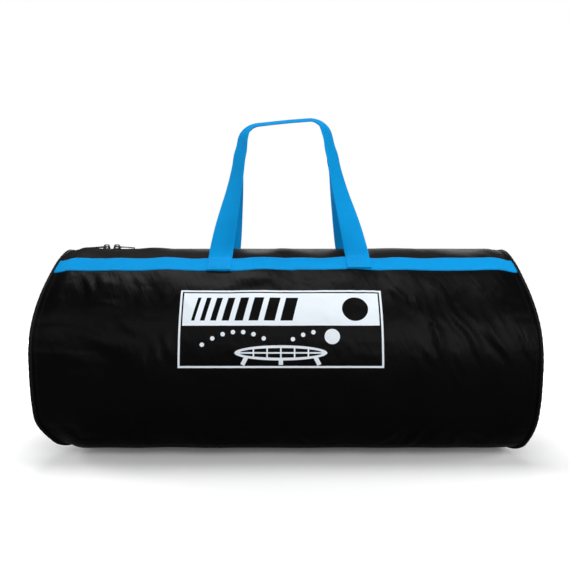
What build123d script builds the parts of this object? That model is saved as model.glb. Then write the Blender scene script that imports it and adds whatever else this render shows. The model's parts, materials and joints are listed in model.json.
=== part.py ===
from build123d import *

# A roundnet set packed in its round carry bag. Millimetres, +Z up, +X along the bag.
# The origin is on the floor, under the middle of the bag. The front of the bag faces -Y.
# An angle round the bag is counted from straight ahead (-Y), upwards: 90 degrees is the top.

import os
from math import acos, asin, cos, degrees, pi, radians, sin, sqrt

# ---- Bag body ----
BAG_LENGTH = 600.0  # over the piping
BAG_RADIUS = 140.0
AXIS_HEIGHT = 124.0  # under BAG_RADIUS, so the bag stands on a flat strip
BASE_CORNER = 60.0  # rounding between the flat base and the round wall
FABRIC = 1.2  # nylon with its foam backing
PIPING_RADIUS = 2.0
PANEL_HALF = BAG_LENGTH / 2 - 2 * PIPING_RADIUS  # half length of the tube panels
END_DOME = 14.0  # how far the end panels bulge out
END_EDGE = PANEL_HALF - 2.0  # where the edge of an end panel sits
SEAM_GAP = 0.05  # left between an end panel and its piping

# ---- Webbing, handles and print ----
WEBBING = 30.0  # width of the bands and the handles
BAND_THICKNESS = 1.5
BAND_ANGLE = 57.3
BAND_HALF_ANGLE = 5.9
STRAP_THICKNESS = 1.6
FOOT_LEFT, FOOT_RIGHT = -83.5, 91.0  # where the handle legs are sewn on
GRIP_LEFT, GRIP_RIGHT = -54.0, 54.0  # upper corners of a handle
GRIP_LEFT_HEIGHT, GRIP_RIGHT_HEIGHT = 180.0, 191.0  # above the hinge line, along the handle
GRIP_CORNER = 16.0
LEG_TRIM = 3.0  # the legs are made this much too long, then cut along the hinge line
GRIP_MIDDLE_Y = 18.5  # distance of a grip's middle from the bag's mid plane
GRIP_TILT = 10.0  # degrees: both grips are held with their rear edge higher
REAR_RISE = 6.0  # the rear grip is held this much higher
TWIST_START, TWIST_END = 0.08, 0.9  # shares of a leg's height between which it turns edge-on
HINGE_GAP = 0.9  # from the sewn foot to the middle of the strap, so the strap folds over it
STITCH_BOX = 23.0
STITCH_WIDTH = 0.9
STITCH_HEIGHT = 0.4
PRINT_WIDTH = 240.0
PRINT_FILM = 0.3
PRINT_LOW_ANGLE, PRINT_HIGH_ANGLE = -2.0, 37.2
PRINT_OFFSET = -6.0

# ---- Zip ----
ZIP_SLOT = 12.0  # gap between the top panels, over the zip
TAPE_OUTER = 16.0
TAPE_THICKNESS = 0.6
TAPE_HALF = 292.0
CHAIN_INNER, CHAIN_OUTER = 0.7, 3.6  # half of the chain, from the mid plane
CHAIN_THICKNESS = 2.4
CHAIN_HALF = 267.5
STOP_LENGTH, STOP_HEIGHT = 3.5, 1.4
STOP_GAP = 0.5  # from the chain's end to the stop
SLIDER_LENGTH = 12.0
SLIDER_HALF_WIDTH = 5.2
SLIDER_PLATE = 1.5
SLIDER_CORNER = 2.5
SLIDER_LIP_LENGTH = 7.0
SLIDER_CLEARANCE = 0.2
SLIDER_LEFT_X, SLIDER_RIGHT_X = -246.0, -232.0
BRIDGE_HEIGHT = 6.0
BRIDGE_THICKNESS = 2.8
BRIDGE_FOOT, BRIDGE_SHOULDER, BRIDGE_CROWN = 5.4, 3.4, 2.2  # half lengths from bottom to top
BRIDGE_WINDOW_LENGTH, BRIDGE_WINDOW_HEIGHT = 4.4, 3.6
PULLER_BAR_RADIUS = 1.0
PULLER_BAR_HEIGHT = 2.8  # above the slider's top plate
PULLER_LENGTH = 24.0
PULLER_WIDTH = 8.4
PULLER_THICKNESS = 1.6
PULLER_TAB_START = 7.0  # from the bar to the tab, bridged by the two arms
PULLER_ARM = 1.4  # width of an arm
PULLER_ARM_LENGTH = 9.0
PULLER_SIDE_GAP = 0.4  # between an arm and the bridge
PULLER_HOLE_LENGTH, PULLER_HOLE_WIDTH = 5.0, 3.0
PULLER_DROOP = 4.0  # degrees below level
END_TAB_LENGTH, END_TAB_THICKNESS = 10.0, 1.0
END_TAB_HALF_ANGLE = 7.0

# ---- Roundnet set inside ----
RIM_RADIUS = 445.0  # centre line of the ring of five arcs
RIM_ARC = 72.0
RIM_TUBE = 13.0
RIM_WALL = 2.0
RIM_PITCH = 27.0
RIM_LOWEST = 20.0
SPIGOT_LENGTH = 16.0
SPIGOT_ROOT = 10.0  # held inside its own arc
HOOK_ANGLES = (-28.0, -14.0, 0.0, 14.0, 28.0)
HOOK_STEM_RADIUS, HOOK_STEM_LENGTH = 2.4, 5.0
HOOK_HEAD_RADIUS, HOOK_HEAD_LENGTH = 3.8, 2.0
LEG_RADIUS = 12.0
LEG_WALL = 2.0
LEG_LENGTH = 180.0
LEG_HEIGHT = 90.0
LEG_PITCH = 29.5
SOCKET_RADIUS = 17.0
SOCKET_LENGTH = 60.0
SOCKET_NECK = 12.0
PLUG_LENGTH = 20.0  # part of a socket inside its leg
LEG_FOOT_WALL, LEG_FOOT_SOLE, LEG_FOOT_GRIP = 2.0, 4.0, 16.0
BALL_RADIUS = 45.0
BALL_WALL = 2.0
VALVE_RADIUS = 3.0
BALL_PLACES = ((-48.0, 42.0, 148.0), (48.0, 42.0, 148.0), (180.0, 42.0, 140.0))
NET_RADIUS, NET_LENGTH = 48.0, 400.0
NET_END_ROUNDING = 8.0
NET_Y, NET_Z = -52.0, 169.0
NET_STRAP_X = 150.0
NET_STRAP_WIDTH, NET_STRAP_THICKNESS = 20.0, 1.15
PUMP_RADIUS = 16.0  # over the cap
PUMP_BARREL_RADIUS = 14.5
PUMP_BORE = 12.5
PUMP_LENGTH = 150.0
PUMP_ROD_RADIUS = 4.0
PUMP_CAP_SKIRT, PUMP_CAP_TOP = 10.0, 4.0
PUMP_T_LENGTH, PUMP_T_WIDTH, PUMP_T_DEPTH = 46.0, 20.0, 12.0
NEEDLE_BASE_RADIUS, NEEDLE_RADIUS = 1.9, 0.9
PUMP_Y, PUMP_Z = 98.0, 105.0
PUMP_LEFT_X = -110.0

# ---- Worked-out places ----
AXIS = (0.0, AXIS_HEIGHT)  # the tube's axis, in a plane across the bag
LIP_ANGLE = BAND_ANGLE + BAND_HALF_ANGLE + 0.5  # where body panel and top panel meet
SLOT_ANGLE = degrees(acos(ZIP_SLOT / 2 / BAG_RADIUS))  # the top panel's edge beside the zip
FOOT_RADIUS = BAG_RADIUS + BAND_THICKNESS + STRAP_THICKNESS
HINGE_RADIUS = FOOT_RADIUS + HINGE_GAP
HINGE_ANGLE = BAND_ANGLE + BAND_HALF_ANGLE + 0.7
HINGE_Y = HINGE_RADIUS * cos(radians(HINGE_ANGLE))
HINGE_Z = AXIS_HEIGHT + HINGE_RADIUS * sin(radians(HINGE_ANGLE))
HANDLE_LENGTH = (GRIP_LEFT_HEIGHT + GRIP_RIGHT_HEIGHT) / 2
LEAN_SIN = (HINGE_Y - GRIP_MIDDLE_Y) / HANDLE_LENGTH
LEAN_COS = sqrt(1 - LEAN_SIN**2)
LEAN = degrees(asin(LEAN_SIN))
TAPE_TOP = AXIS_HEIGHT + sqrt((BAG_RADIUS - FABRIC) ** 2 - TAPE_OUTER**2) - 0.1
TAPE_MIDDLE = TAPE_TOP - TAPE_THICKNESS / 2
CHAIN_TOP = TAPE_MIDDLE + CHAIN_THICKNESS / 2
PLATE_TOP = CHAIN_TOP + SLIDER_CLEARANCE + SLIDER_PLATE
PULLER_Z = PLATE_TOP + PULLER_BAR_HEIGHT


def write(builder, name):
    """Labels a finished piece and writes it as parts/NAME.step."""
    builder.part.label = name
    export_step(builder.part, f"parts/{name}.step")


def write_mirrored(builder, name, plane):
    """Writes the mirror image of a piece."""
    with BuildPart() as image:
        add(builder.part)
        mirror(about=plane, mode=Mode.REPLACE)
    write(image, name)


def across(x):
    """The plane across the bag at x: its first axis is +Y and its second is +Z."""
    return Plane.YZ.offset(x)


def outline(inset, x):
    """Cross-section of the bag on the plane at x, pulled in by inset all round."""
    with BuildSketch(across(x)) as section:
        with Locations(AXIS):
            Circle(BAG_RADIUS - inset)
        with Locations((0, inset)):
            Rectangle(
                4 * BAG_RADIUS,
                4 * BAG_RADIUS,
                align=(Align.CENTER, Align.MIN),
                mode=Mode.INTERSECT,
            )
        fillet(section.vertices(), BASE_CORNER - inset)
    return section


def around(angle, radius):
    """The point (y, z) at an angle round the bag and a distance from its axis."""
    return (-radius * cos(radians(angle)), AXIS_HEIGHT + radius * sin(radians(angle)))


def ring_piece(inner, outer, low_angle, high_angle, left, right):
    """A curved strip on the bag between two radii, two angles and two places along X."""
    reach = 2 * outer
    with BuildPart() as strip:
        with BuildSketch(across(left)):
            with Locations(AXIS):
                Circle(outer)
            with BuildLine():
                Polyline(
                    AXIS,
                    around(low_angle, reach),
                    around((low_angle + high_angle) / 2, reach),
                    around(high_angle, reach),
                    close=True,
                )
            make_face(mode=Mode.INTERSECT)
            with Locations(AXIS):
                Circle(inner, mode=Mode.SUBTRACT)
        extrude(amount=right - left)
    return strip


def rod(left, right, centre, radius, bore=0.0):
    """A round bar, or a tube if it has a bore, along X between two places. centre is its (y, z)."""
    with BuildPart() as bar:
        with BuildSketch(across(left)):
            with Locations(centre):
                Circle(radius)
                if bore:
                    Circle(bore, mode=Mode.SUBTRACT)
        extrude(amount=right - left)
    return bar


def build_panels():
    """The nylon wrap under the bands, and the two top panels between the bands and the zip."""
    with BuildPart() as tube:
        extrude(outline(0, -PANEL_HALF).sketch, amount=2 * PANEL_HALF)
        inside = outline(FABRIC, -PANEL_HALF).sketch
        extrude(inside, amount=2 * PANEL_HALF, mode=Mode.SUBTRACT)
    top = ring_piece(
        BAG_RADIUS / 2, 2 * BAG_RADIUS, LIP_ANGLE, 180 - LIP_ANGLE, -BAG_LENGTH, BAG_LENGTH
    )
    with BuildPart() as body_panel:
        add(tube.part)
        add(top.part, mode=Mode.SUBTRACT)
    write(body_panel, "body_panel")
    front = ring_piece(
        BAG_RADIUS - FABRIC, BAG_RADIUS, LIP_ANGLE + 0.1, SLOT_ANGLE, -PANEL_HALF, PANEL_HALF
    )
    write(front, "top_panel_front")
    write_mirrored(front, "top_panel_rear", Plane.XZ)


def build_ends():
    """Domed end panels, and the piping round each end seam."""
    inset = 2 * PIPING_RADIUS + SEAM_GAP
    edge_radius = BAG_RADIUS - inset
    sphere = (edge_radius**2 + END_DOME**2) / (2 * END_DOME)
    centre = (END_EDGE + END_DOME - sphere, 0, AXIS_HEIGHT)
    with BuildPart() as end_panel:
        extrude(outline(inset, END_EDGE - 5).sketch, amount=END_DOME + 10)
        with Locations(centre):
            Sphere(sphere, mode=Mode.INTERSECT)
            Sphere(sphere - FABRIC, mode=Mode.SUBTRACT)
    write(end_panel, "end_panel_right")
    write_mirrored(end_panel, "end_panel_left", Plane.YZ)

    seam = outline(PIPING_RADIUS, BAG_LENGTH / 2 - PIPING_RADIUS).sketch.wire()
    with BuildPart() as piping:
        with BuildSketch(Plane(origin=seam @ 0, z_dir=seam % 0)):
            Circle(PIPING_RADIUS)
        sweep(path=seam)
    write(piping, "piping_right")
    write_mirrored(piping, "piping_left", Plane.YZ)


def build_bands():
    """Blue webbing along each shoulder, over the seam of body panel and top panel."""
    low, high = BAND_ANGLE - BAND_HALF_ANGLE, BAND_ANGLE + BAND_HALF_ANGLE
    outer = BAG_RADIUS + BAND_THICKNESS
    band = ring_piece(BAG_RADIUS, outer, low, high, -PANEL_HALF, PANEL_HALF)
    write(band, "band_front")
    write_mirrored(band, "band_rear", Plane.XZ)

    half = WEBBING / 2
    with BuildPart() as feet:
        for foot in (FOOT_LEFT, FOOT_RIGHT):
            add(ring_piece(outer, FOOT_RADIUS, low, high, foot - half, foot + half).part)
    write(feet, "handle_feet_front")
    write_mirrored(feet, "handle_feet_rear", Plane.XZ)


def build_stitching():
    """A box with a cross in it on each of the four sewn feet."""
    with BuildPart() as stitching:
        for side in (-1, 1):
            outward = (0, side * cos(radians(BAND_ANGLE)), sin(radians(BAND_ANGLE)))
            start = Vector(0, 0, AXIS_HEIGHT) + Vector(*outward) * BAG_RADIUS
            with BuildSketch(Plane(origin=start, x_dir=(1, 0, 0), z_dir=outward)):
                with Locations((FOOT_LEFT, 0), (FOOT_RIGHT, 0)):
                    Rectangle(STITCH_BOX, STITCH_BOX)
                    inner = STITCH_BOX - 2 * STITCH_WIDTH
                    Rectangle(inner, inner, mode=Mode.SUBTRACT)
                    diagonal = inner * sqrt(2)
                    Rectangle(diagonal, STITCH_WIDTH, rotation=45)
                    Rectangle(diagonal, STITCH_WIDTH, rotation=-45)
            extrude(amount=10)
        with BuildSketch(across(-BAG_RADIUS)):
            with Locations(AXIS):
                Circle(FOOT_RADIUS + STITCH_HEIGHT)
                Circle(FOOT_RADIUS, mode=Mode.SUBTRACT)
        extrude(amount=2 * BAG_RADIUS, mode=Mode.INTERSECT)
    write(stitching, "handle_stitching")


def build_handle(side, grip_turn, rise, name):
    """One webbing loop. Each leg turns edge-on as it rises, so that the grip lies flat.

    side is -1 for the front handle and 1 for the rear. grip_turn is the full turn in degrees,
    and rise is how much higher than its nominal place the grip is held.
    """
    up = Vector(0, -side * LEAN_SIN, LEAN_COS)
    facing = Vector(0, side * LEAN_COS, LEAN_SIN)
    hinge = (0, side * HINGE_Y, HINGE_Z)
    loop_plane = Plane(origin=hinge, x_dir=(1, 0, 0), z_dir=Vector(1, 0, 0).cross(up))
    with BuildLine(loop_plane) as path:
        FilletPolyline(
            (FOOT_LEFT, -LEG_TRIM),
            (GRIP_LEFT, GRIP_LEFT_HEIGHT + rise),
            (GRIP_RIGHT, GRIP_RIGHT_HEIGHT + rise),
            (FOOT_RIGHT, -LEG_TRIM),
            radius=GRIP_CORNER,
        )
    wire = path.wire()
    steps = 44
    with BuildPart() as handle:
        for step in range(steps + 1):
            share = step / steps
            point, along = wire @ share, wire % share
            height = (point - loop_plane.origin).dot(up)
            climb = (height / GRIP_LEFT_HEIGHT - TWIST_START) / (TWIST_END - TWIST_START)
            turn = radians(grip_turn) * sin(min(1.0, max(0.0, climb)) * pi / 2)
            width_way = along.cross(facing) * cos(turn) + facing * sin(turn)
            with BuildSketch(Plane(origin=point, x_dir=width_way, z_dir=along)):
                Rectangle(WEBBING, STRAP_THICKNESS)
        loft(ruled=True)
        split(bisect_by=Plane(origin=loop_plane.origin, z_dir=up), keep=Keep.TOP)
    write(handle, name)


def build_print():
    """The printed panel on the front, as a thin film on the nylon."""
    film = ring_piece(
        BAG_RADIUS,
        BAG_RADIUS + PRINT_FILM,
        PRINT_LOW_ANGLE,
        PRINT_HIGH_ANGLE,
        PRINT_OFFSET - PRINT_WIDTH / 2,
        PRINT_OFFSET + PRINT_WIDTH / 2,
    )
    write(film, "print_panel")


def build_zip_tapes():
    """Tape and chain of the front half of the zip, mirrored for the rear half."""
    with BuildPart() as tape:
        with Locations((0, -(TAPE_OUTER + CHAIN_OUTER) / 2, TAPE_MIDDLE)):
            Box(2 * TAPE_HALF, TAPE_OUTER - CHAIN_OUTER, TAPE_THICKNESS)
    write(tape, "zip_tape_front")
    write_mirrored(tape, "zip_tape_rear", Plane.XZ)
    with BuildPart() as chain:
        with Locations((0, -(CHAIN_INNER + CHAIN_OUTER) / 2, TAPE_MIDDLE)):
            Box(2 * CHAIN_HALF, CHAIN_OUTER - CHAIN_INNER, CHAIN_THICKNESS)
    write(chain, "zip_chain_front")
    write_mirrored(chain, "zip_chain_rear", Plane.XZ)


def build_zip_ends():
    """A metal stop over each end of the chain, and a fabric tab over each end of the zip."""
    stop_x = CHAIN_HALF + STOP_GAP + STOP_LENGTH / 2
    stop_z = TAPE_TOP + 0.05 + STOP_HEIGHT / 2
    with BuildPart() as stops:
        with Locations((-stop_x, 0, stop_z), (stop_x, 0, stop_z)):
            Box(STOP_LENGTH, 2 * CHAIN_OUTER, STOP_HEIGHT)
    write(stops, "zip_end_stops")
    tab = ring_piece(
        BAG_RADIUS,
        BAG_RADIUS + END_TAB_THICKNESS,
        90 - END_TAB_HALF_ANGLE,
        90 + END_TAB_HALF_ANGLE,
        -PANEL_HALF,
        END_TAB_LENGTH - PANEL_HALF,
    )
    with BuildPart() as tabs:
        add(tab.part)
        mirror(about=Plane.YZ)
    write(tabs, "zip_end_tabs")


def build_slider():
    """Zip slider at x = 0: two plates with side lips, joined by a post, and a bridge on top."""
    inner_half = CHAIN_OUTER + 2 * SLIDER_CLEARANCE
    lip = SLIDER_HALF_WIDTH - inner_half
    bottom_top = TAPE_MIDDLE - CHAIN_THICKNESS / 2 - SLIDER_CLEARANCE
    post_height = PLATE_TOP - bottom_top
    lip_y = (SLIDER_HALF_WIDTH + inner_half) / 2
    upper_lip = PLATE_TOP - TAPE_TOP - SLIDER_CLEARANCE
    lower_lip = TAPE_TOP - TAPE_THICKNESS - SLIDER_CLEARANCE - bottom_top
    bridge_top = PLATE_TOP + BRIDGE_HEIGHT
    bridge_foot = PLATE_TOP - SLIDER_PLATE / 3
    with BuildPart() as slider:
        for bottom in (PLATE_TOP - SLIDER_PLATE, bottom_top - SLIDER_PLATE):
            with BuildSketch(Plane.XY.offset(bottom)):
                RectangleRounded(SLIDER_LENGTH, 2 * SLIDER_HALF_WIDTH, SLIDER_CORNER)
            extrude(amount=SLIDER_PLATE)
        with Locations((0, 0, bottom_top + post_height / 2)):
            Box(SLIDER_LENGTH / 2, CHAIN_INNER, post_height)
        with Locations((0, -lip_y, PLATE_TOP), (0, lip_y, PLATE_TOP)):
            Box(SLIDER_LIP_LENGTH, lip, upper_lip, align=(Align.CENTER, Align.CENTER, Align.MAX))
        with Locations((0, -lip_y, bottom_top), (0, lip_y, bottom_top)):
            Box(SLIDER_LIP_LENGTH, lip, lower_lip, align=(Align.CENTER, Align.CENTER, Align.MIN))
        with BuildSketch(Plane.XZ.offset(-BRIDGE_THICKNESS / 2)):
            with BuildLine():
                Polyline(
                    (-BRIDGE_FOOT, bridge_foot),
                    (-BRIDGE_SHOULDER, bridge_top - BRIDGE_HEIGHT / 10),
                    (-BRIDGE_CROWN, bridge_top),
                    (BRIDGE_CROWN, bridge_top),
                    (BRIDGE_SHOULDER, bridge_top - BRIDGE_HEIGHT / 10),
                    (BRIDGE_FOOT, bridge_foot),
                    close=True,
                )
            make_face()
            with Locations((0, PULLER_Z)):
                RectangleRounded(
                    BRIDGE_WINDOW_LENGTH, BRIDGE_WINDOW_HEIGHT, PULLER_BAR_RADIUS, mode=Mode.SUBTRACT
                )
        extrude(amount=BRIDGE_THICKNESS)
    return slider


def build_puller():
    """Pull tab for a slider at x = 0, lying towards +X: a bar in the bridge, two arms and a tab."""
    arm_y = BRIDGE_THICKNESS / 2 + PULLER_SIDE_GAP + PULLER_ARM / 2
    arm_x = PULLER_ARM_LENGTH / 2 - PULLER_BAR_RADIUS
    with BuildPart() as puller:
        with Locations(Rotation(90, 0, 0)):
            Cylinder(PULLER_BAR_RADIUS, 2 * arm_y + PULLER_ARM)
        with Locations((arm_x, -arm_y, 0), (arm_x, arm_y, 0)):
            Box(PULLER_ARM_LENGTH, PULLER_ARM, 2 * PULLER_BAR_RADIUS)
        with BuildSketch(Plane.XY.offset(-PULLER_THICKNESS / 2)):
            with Locations((PULLER_TAB_START, 0)):
                RectangleRounded(
                    PULLER_LENGTH - PULLER_TAB_START,
                    PULLER_WIDTH,
                    PULLER_WIDTH / 4,
                    align=(Align.MIN, Align.CENTER),
                )
            with Locations((PULLER_LENGTH - PULLER_HOLE_LENGTH, 0)):
                SlotOverall(PULLER_HOLE_LENGTH, PULLER_HOLE_WIDTH, rotation=90, mode=Mode.SUBTRACT)
        extrude(amount=PULLER_THICKNESS)
    with BuildPart() as placed:
        with Locations(Location((0, 0, PULLER_Z), (0, PULLER_DROOP, 0))):
            add(puller.part)
    return placed


def build_sliders():
    """Both sliders, head to head near the left end of the zip, with their pull tabs."""
    slider, puller = build_slider(), build_puller()
    for name, x in (("left", SLIDER_LEFT_X), ("right", SLIDER_RIGHT_X)):
        with BuildPart() as placed_slider:
            with Locations((x, 0, 0)):
                add(slider.part)
        write(placed_slider, f"zip_slider_{name}")
        with BuildPart() as placed_puller:
            with Locations(Location((x, 0, 0))):
                add(puller.part)
        if name == "right":
            write(placed_puller, "zip_puller_right")
        else:
            write_mirrored(placed_puller, "zip_puller_left", Plane.YZ.offset(x))


def build_rim_arcs():
    """Five arcs of the rim side by side, curved side down, each with a spigot and net hooks."""
    half = radians(RIM_ARC / 2)
    centre_z = RIM_LOWEST + RIM_RADIUS
    for number in range(5):
        y = (number - 2) * RIM_PITCH
        turn_axis = Axis((0, y, centre_z), (0, -1, 0))
        end = (RIM_RADIUS * sin(half), y, centre_z - RIM_RADIUS * cos(half))
        end_plane = Plane(origin=end, x_dir=(0, 1, 0), z_dir=(cos(half), 0, sin(half)))
        start = (-end[0], y, end[2])
        start_plane = Plane(origin=start, x_dir=(0, 1, 0), z_dir=(cos(half), 0, -sin(half)))
        with BuildPart() as arc:
            with BuildSketch(start_plane):
                Circle(RIM_TUBE)
                Circle(RIM_TUBE - RIM_WALL, mode=Mode.SUBTRACT)
            revolve(axis=turn_axis, revolution_arc=RIM_ARC)
            with BuildSketch(end_plane.offset(-SPIGOT_ROOT)):
                Circle(RIM_TUBE - RIM_WALL + 0.4)
            extrude(amount=SPIGOT_ROOT)
            with BuildSketch(end_plane):
                Circle(RIM_TUBE - RIM_WALL - 0.3)
            extrude(amount=SPIGOT_LENGTH)
            for angle in HOOK_ANGLES:
                tilt = radians(angle)
                inward = (-sin(tilt), 0, cos(tilt))
                root = (RIM_RADIUS * sin(tilt), y, centre_z - RIM_RADIUS * cos(tilt))
                root_plane = Plane(origin=root, x_dir=(0, 1, 0), z_dir=inward)
                with BuildSketch(root_plane.offset(RIM_TUBE - RIM_WALL / 4)):
                    Circle(HOOK_STEM_RADIUS)
                extrude(amount=HOOK_STEM_LENGTH)
                with BuildSketch(root_plane.offset(RIM_TUBE - RIM_WALL / 4 + HOOK_STEM_LENGTH)):
                    Circle(HOOK_HEAD_RADIUS)
                extrude(amount=HOOK_HEAD_LENGTH)
        write(arc, f"rim_arc_{number + 1}")


def build_legs():
    """Five legs over the arcs, their T sockets at alternate ends, and a rubber foot on each."""
    half = LEG_LENGTH / 2
    foot_radius = LEG_RADIUS + LEG_FOOT_WALL
    bore = LEG_RADIUS - LEG_WALL
    with BuildPart() as feet:
        for number in range(5):
            way = 1 if number % 2 else -1
            spot = ((number - 2) * LEG_PITCH, LEG_HEIGHT)
            end = -way * half
            add(rod(end, end - way * LEG_FOOT_SOLE, spot, foot_radius).part)
            add(rod(end, end + way * LEG_FOOT_GRIP, spot, foot_radius, LEG_RADIUS + 0.05).part)
    write(feet, "leg_feet")
    for number in range(5):
        way = 1 if number % 2 else -1
        spot = ((number - 2) * LEG_PITCH, LEG_HEIGHT)
        write(rod(-half, half, spot, LEG_RADIUS, bore), f"leg_tube_{number + 1}")
        end = way * half
        socket_x = end + way * (SOCKET_NECK + SOCKET_RADIUS)
        with BuildPart() as socket:
            add(rod(end, socket_x - way * SOCKET_RADIUS / 2, spot, LEG_RADIUS).part)
            add(rod(end, end - way * PLUG_LENGTH, spot, bore - 0.1).part)
            with Locations((socket_x, spot[0], LEG_HEIGHT)):
                Cylinder(SOCKET_RADIUS, SOCKET_LENGTH)
                Cylinder(RIM_TUBE + 0.3, SOCKET_LENGTH, mode=Mode.SUBTRACT)
        write(socket, f"leg_socket_{number + 1}")


def build_balls():
    """Three hollow balls, each with a valve plug in its wall."""
    for number, place in enumerate(BALL_PLACES):
        with BuildPart() as ball:
            with Locations(place):
                Sphere(BALL_RADIUS)
                Sphere(BALL_RADIUS - BALL_WALL, mode=Mode.SUBTRACT)
                with Locations((0, 0, BALL_RADIUS)):
                    Cylinder(VALVE_RADIUS + 0.1, 4 * BALL_WALL, mode=Mode.SUBTRACT)
        write(ball, f"ball_{number + 1}")
    with BuildPart() as valves:
        with Locations(*BALL_PLACES):
            with Locations((0, 0, BALL_RADIUS - 1.5 * BALL_WALL)):
                Cylinder(VALVE_RADIUS, 1.45 * BALL_WALL, align=(Align.CENTER, Align.CENTER, Align.MIN))
    write(valves, "ball_valves")


def build_net():
    """The rolled net, and the two straps that hold the roll."""
    half = NET_LENGTH / 2
    roll = rod(-half, half, (NET_Y, NET_Z), NET_RADIUS)
    with roll:
        fillet(roll.edges().filter_by(GeomType.CIRCLE), NET_END_ROUNDING)
    write(roll, "net_roll")
    inner = NET_RADIUS + 0.05
    with BuildPart() as straps:
        for x in (-NET_STRAP_X, NET_STRAP_X):
            left, right = x - NET_STRAP_WIDTH / 2, x + NET_STRAP_WIDTH / 2
            add(rod(left, right, (NET_Y, NET_Z), inner + NET_STRAP_THICKNESS, inner).part)
    write(straps, "net_straps")


def build_pump():
    """Hand pump along X: barrel, screw cap, plunger with a T handle, and the needle."""
    spot = (PUMP_Y, PUMP_Z)
    left, right = PUMP_LEFT_X, PUMP_LEFT_X + PUMP_LENGTH
    bottom = 6.0
    with BuildPart() as barrel:
        add(rod(left, right, spot, PUMP_BARREL_RADIUS, PUMP_BORE).part)
        add(rod(left, left + bottom, spot, PUMP_BARREL_RADIUS, NEEDLE_BASE_RADIUS + 0.1).part)
    write(barrel, "pump_barrel")
    with BuildPart() as cap:
        add(rod(right - PUMP_CAP_SKIRT, right, spot, PUMP_RADIUS, PUMP_BARREL_RADIUS + 0.05).part)
        add(rod(right, right + PUMP_CAP_TOP, spot, PUMP_RADIUS, PUMP_ROD_RADIUS + 0.05).part)
    write(cap, "pump_cap")
    piston = left + 10.0
    handle = right + 6.0
    with BuildPart() as plunger:
        add(rod(piston, piston + 8.0, spot, PUMP_BORE - 0.1).part)
        add(rod(piston + 8.0, handle + 2.0, spot, PUMP_ROD_RADIUS).part)
        with BuildSketch(across(handle)):
            with Locations(spot):
                RectangleRounded(PUMP_T_WIDTH, PUMP_T_LENGTH, 6.0)
        extrude(amount=PUMP_T_DEPTH)
    write(plunger, "pump_plunger")
    needle_base = left - 7.0
    with BuildPart() as needle:
        add(rod(needle_base, left + 5.0, spot, NEEDLE_BASE_RADIUS).part)
        add(rod(needle_base - 30.0, needle_base, spot, NEEDLE_RADIUS).part)
    write(needle, "pump_needle")


os.makedirs("parts", exist_ok=True)
build_panels()
build_ends()
build_bands()
build_stitching()
build_handle(-1, 90 - LEAN - GRIP_TILT, 0.0, "handle_front")
build_handle(1, LEAN - 90 - GRIP_TILT, REAR_RISE, "handle_rear")
build_print()
build_zip_tapes()
build_zip_ends()
build_sliders()
build_rim_arcs()
build_legs()
build_balls()
build_net()
build_pump()
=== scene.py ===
import json
import math

import bmesh
import bpy
import numpy as np
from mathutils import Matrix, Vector, geometry, noise


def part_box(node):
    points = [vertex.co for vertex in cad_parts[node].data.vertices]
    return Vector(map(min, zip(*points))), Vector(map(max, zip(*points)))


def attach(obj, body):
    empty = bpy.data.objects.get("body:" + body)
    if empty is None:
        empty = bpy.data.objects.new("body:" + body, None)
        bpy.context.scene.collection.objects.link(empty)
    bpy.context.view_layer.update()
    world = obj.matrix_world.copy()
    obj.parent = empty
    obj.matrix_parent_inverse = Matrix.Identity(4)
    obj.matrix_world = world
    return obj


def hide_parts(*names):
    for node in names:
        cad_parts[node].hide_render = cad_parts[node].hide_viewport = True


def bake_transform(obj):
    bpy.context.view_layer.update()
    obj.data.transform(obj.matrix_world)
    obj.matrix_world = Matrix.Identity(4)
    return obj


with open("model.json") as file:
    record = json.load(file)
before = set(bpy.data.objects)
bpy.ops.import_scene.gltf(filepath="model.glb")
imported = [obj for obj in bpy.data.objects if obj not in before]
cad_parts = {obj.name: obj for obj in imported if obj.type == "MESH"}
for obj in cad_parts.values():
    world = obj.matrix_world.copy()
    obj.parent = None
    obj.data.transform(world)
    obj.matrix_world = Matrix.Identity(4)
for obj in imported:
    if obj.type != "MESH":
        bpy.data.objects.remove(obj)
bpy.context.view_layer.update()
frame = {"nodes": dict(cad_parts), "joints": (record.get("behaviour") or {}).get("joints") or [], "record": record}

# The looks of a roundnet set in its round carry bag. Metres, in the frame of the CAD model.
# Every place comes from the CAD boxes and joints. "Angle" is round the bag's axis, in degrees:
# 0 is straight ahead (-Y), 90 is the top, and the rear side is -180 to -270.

JOINTS = {joint["name"]: joint for joint in frame["joints"]}
SLOTS = {entry["slot"]: entry for entry in frame["record"]["materials"]}
MM = 0.001

# ---- Sizes read from the frame ----
PIPING_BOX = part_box("piping_right")
BAG_RADIUS = PIPING_BOX[1].y
AXIS_Z = PIPING_BOX[1].z - BAG_RADIUS
PANEL_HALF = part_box("body_panel")[1].x
END_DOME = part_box("end_panel_right")[1].x - PANEL_HALF
FRONT_HINGE = Vector(JOINTS["handle_front_fold"]["pos_m"])
LIP_HINGE = Vector(JOINTS["lip_front_open"]["pos_m"])
LIP_ANGLE = math.degrees(math.atan2(LIP_HINGE.z - AXIS_Z, -LIP_HINGE.y))
SLOT_ANGLE = math.degrees(math.acos(-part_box("top_panel_front")[1].y / BAG_RADIUS))
PRINT_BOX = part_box("print_panel")
TAPE_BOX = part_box("zip_tape_front")
CHAIN_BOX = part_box("zip_chain_front")
STOPS_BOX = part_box("zip_end_stops")
FEET_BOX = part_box("handle_feet_front")

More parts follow.
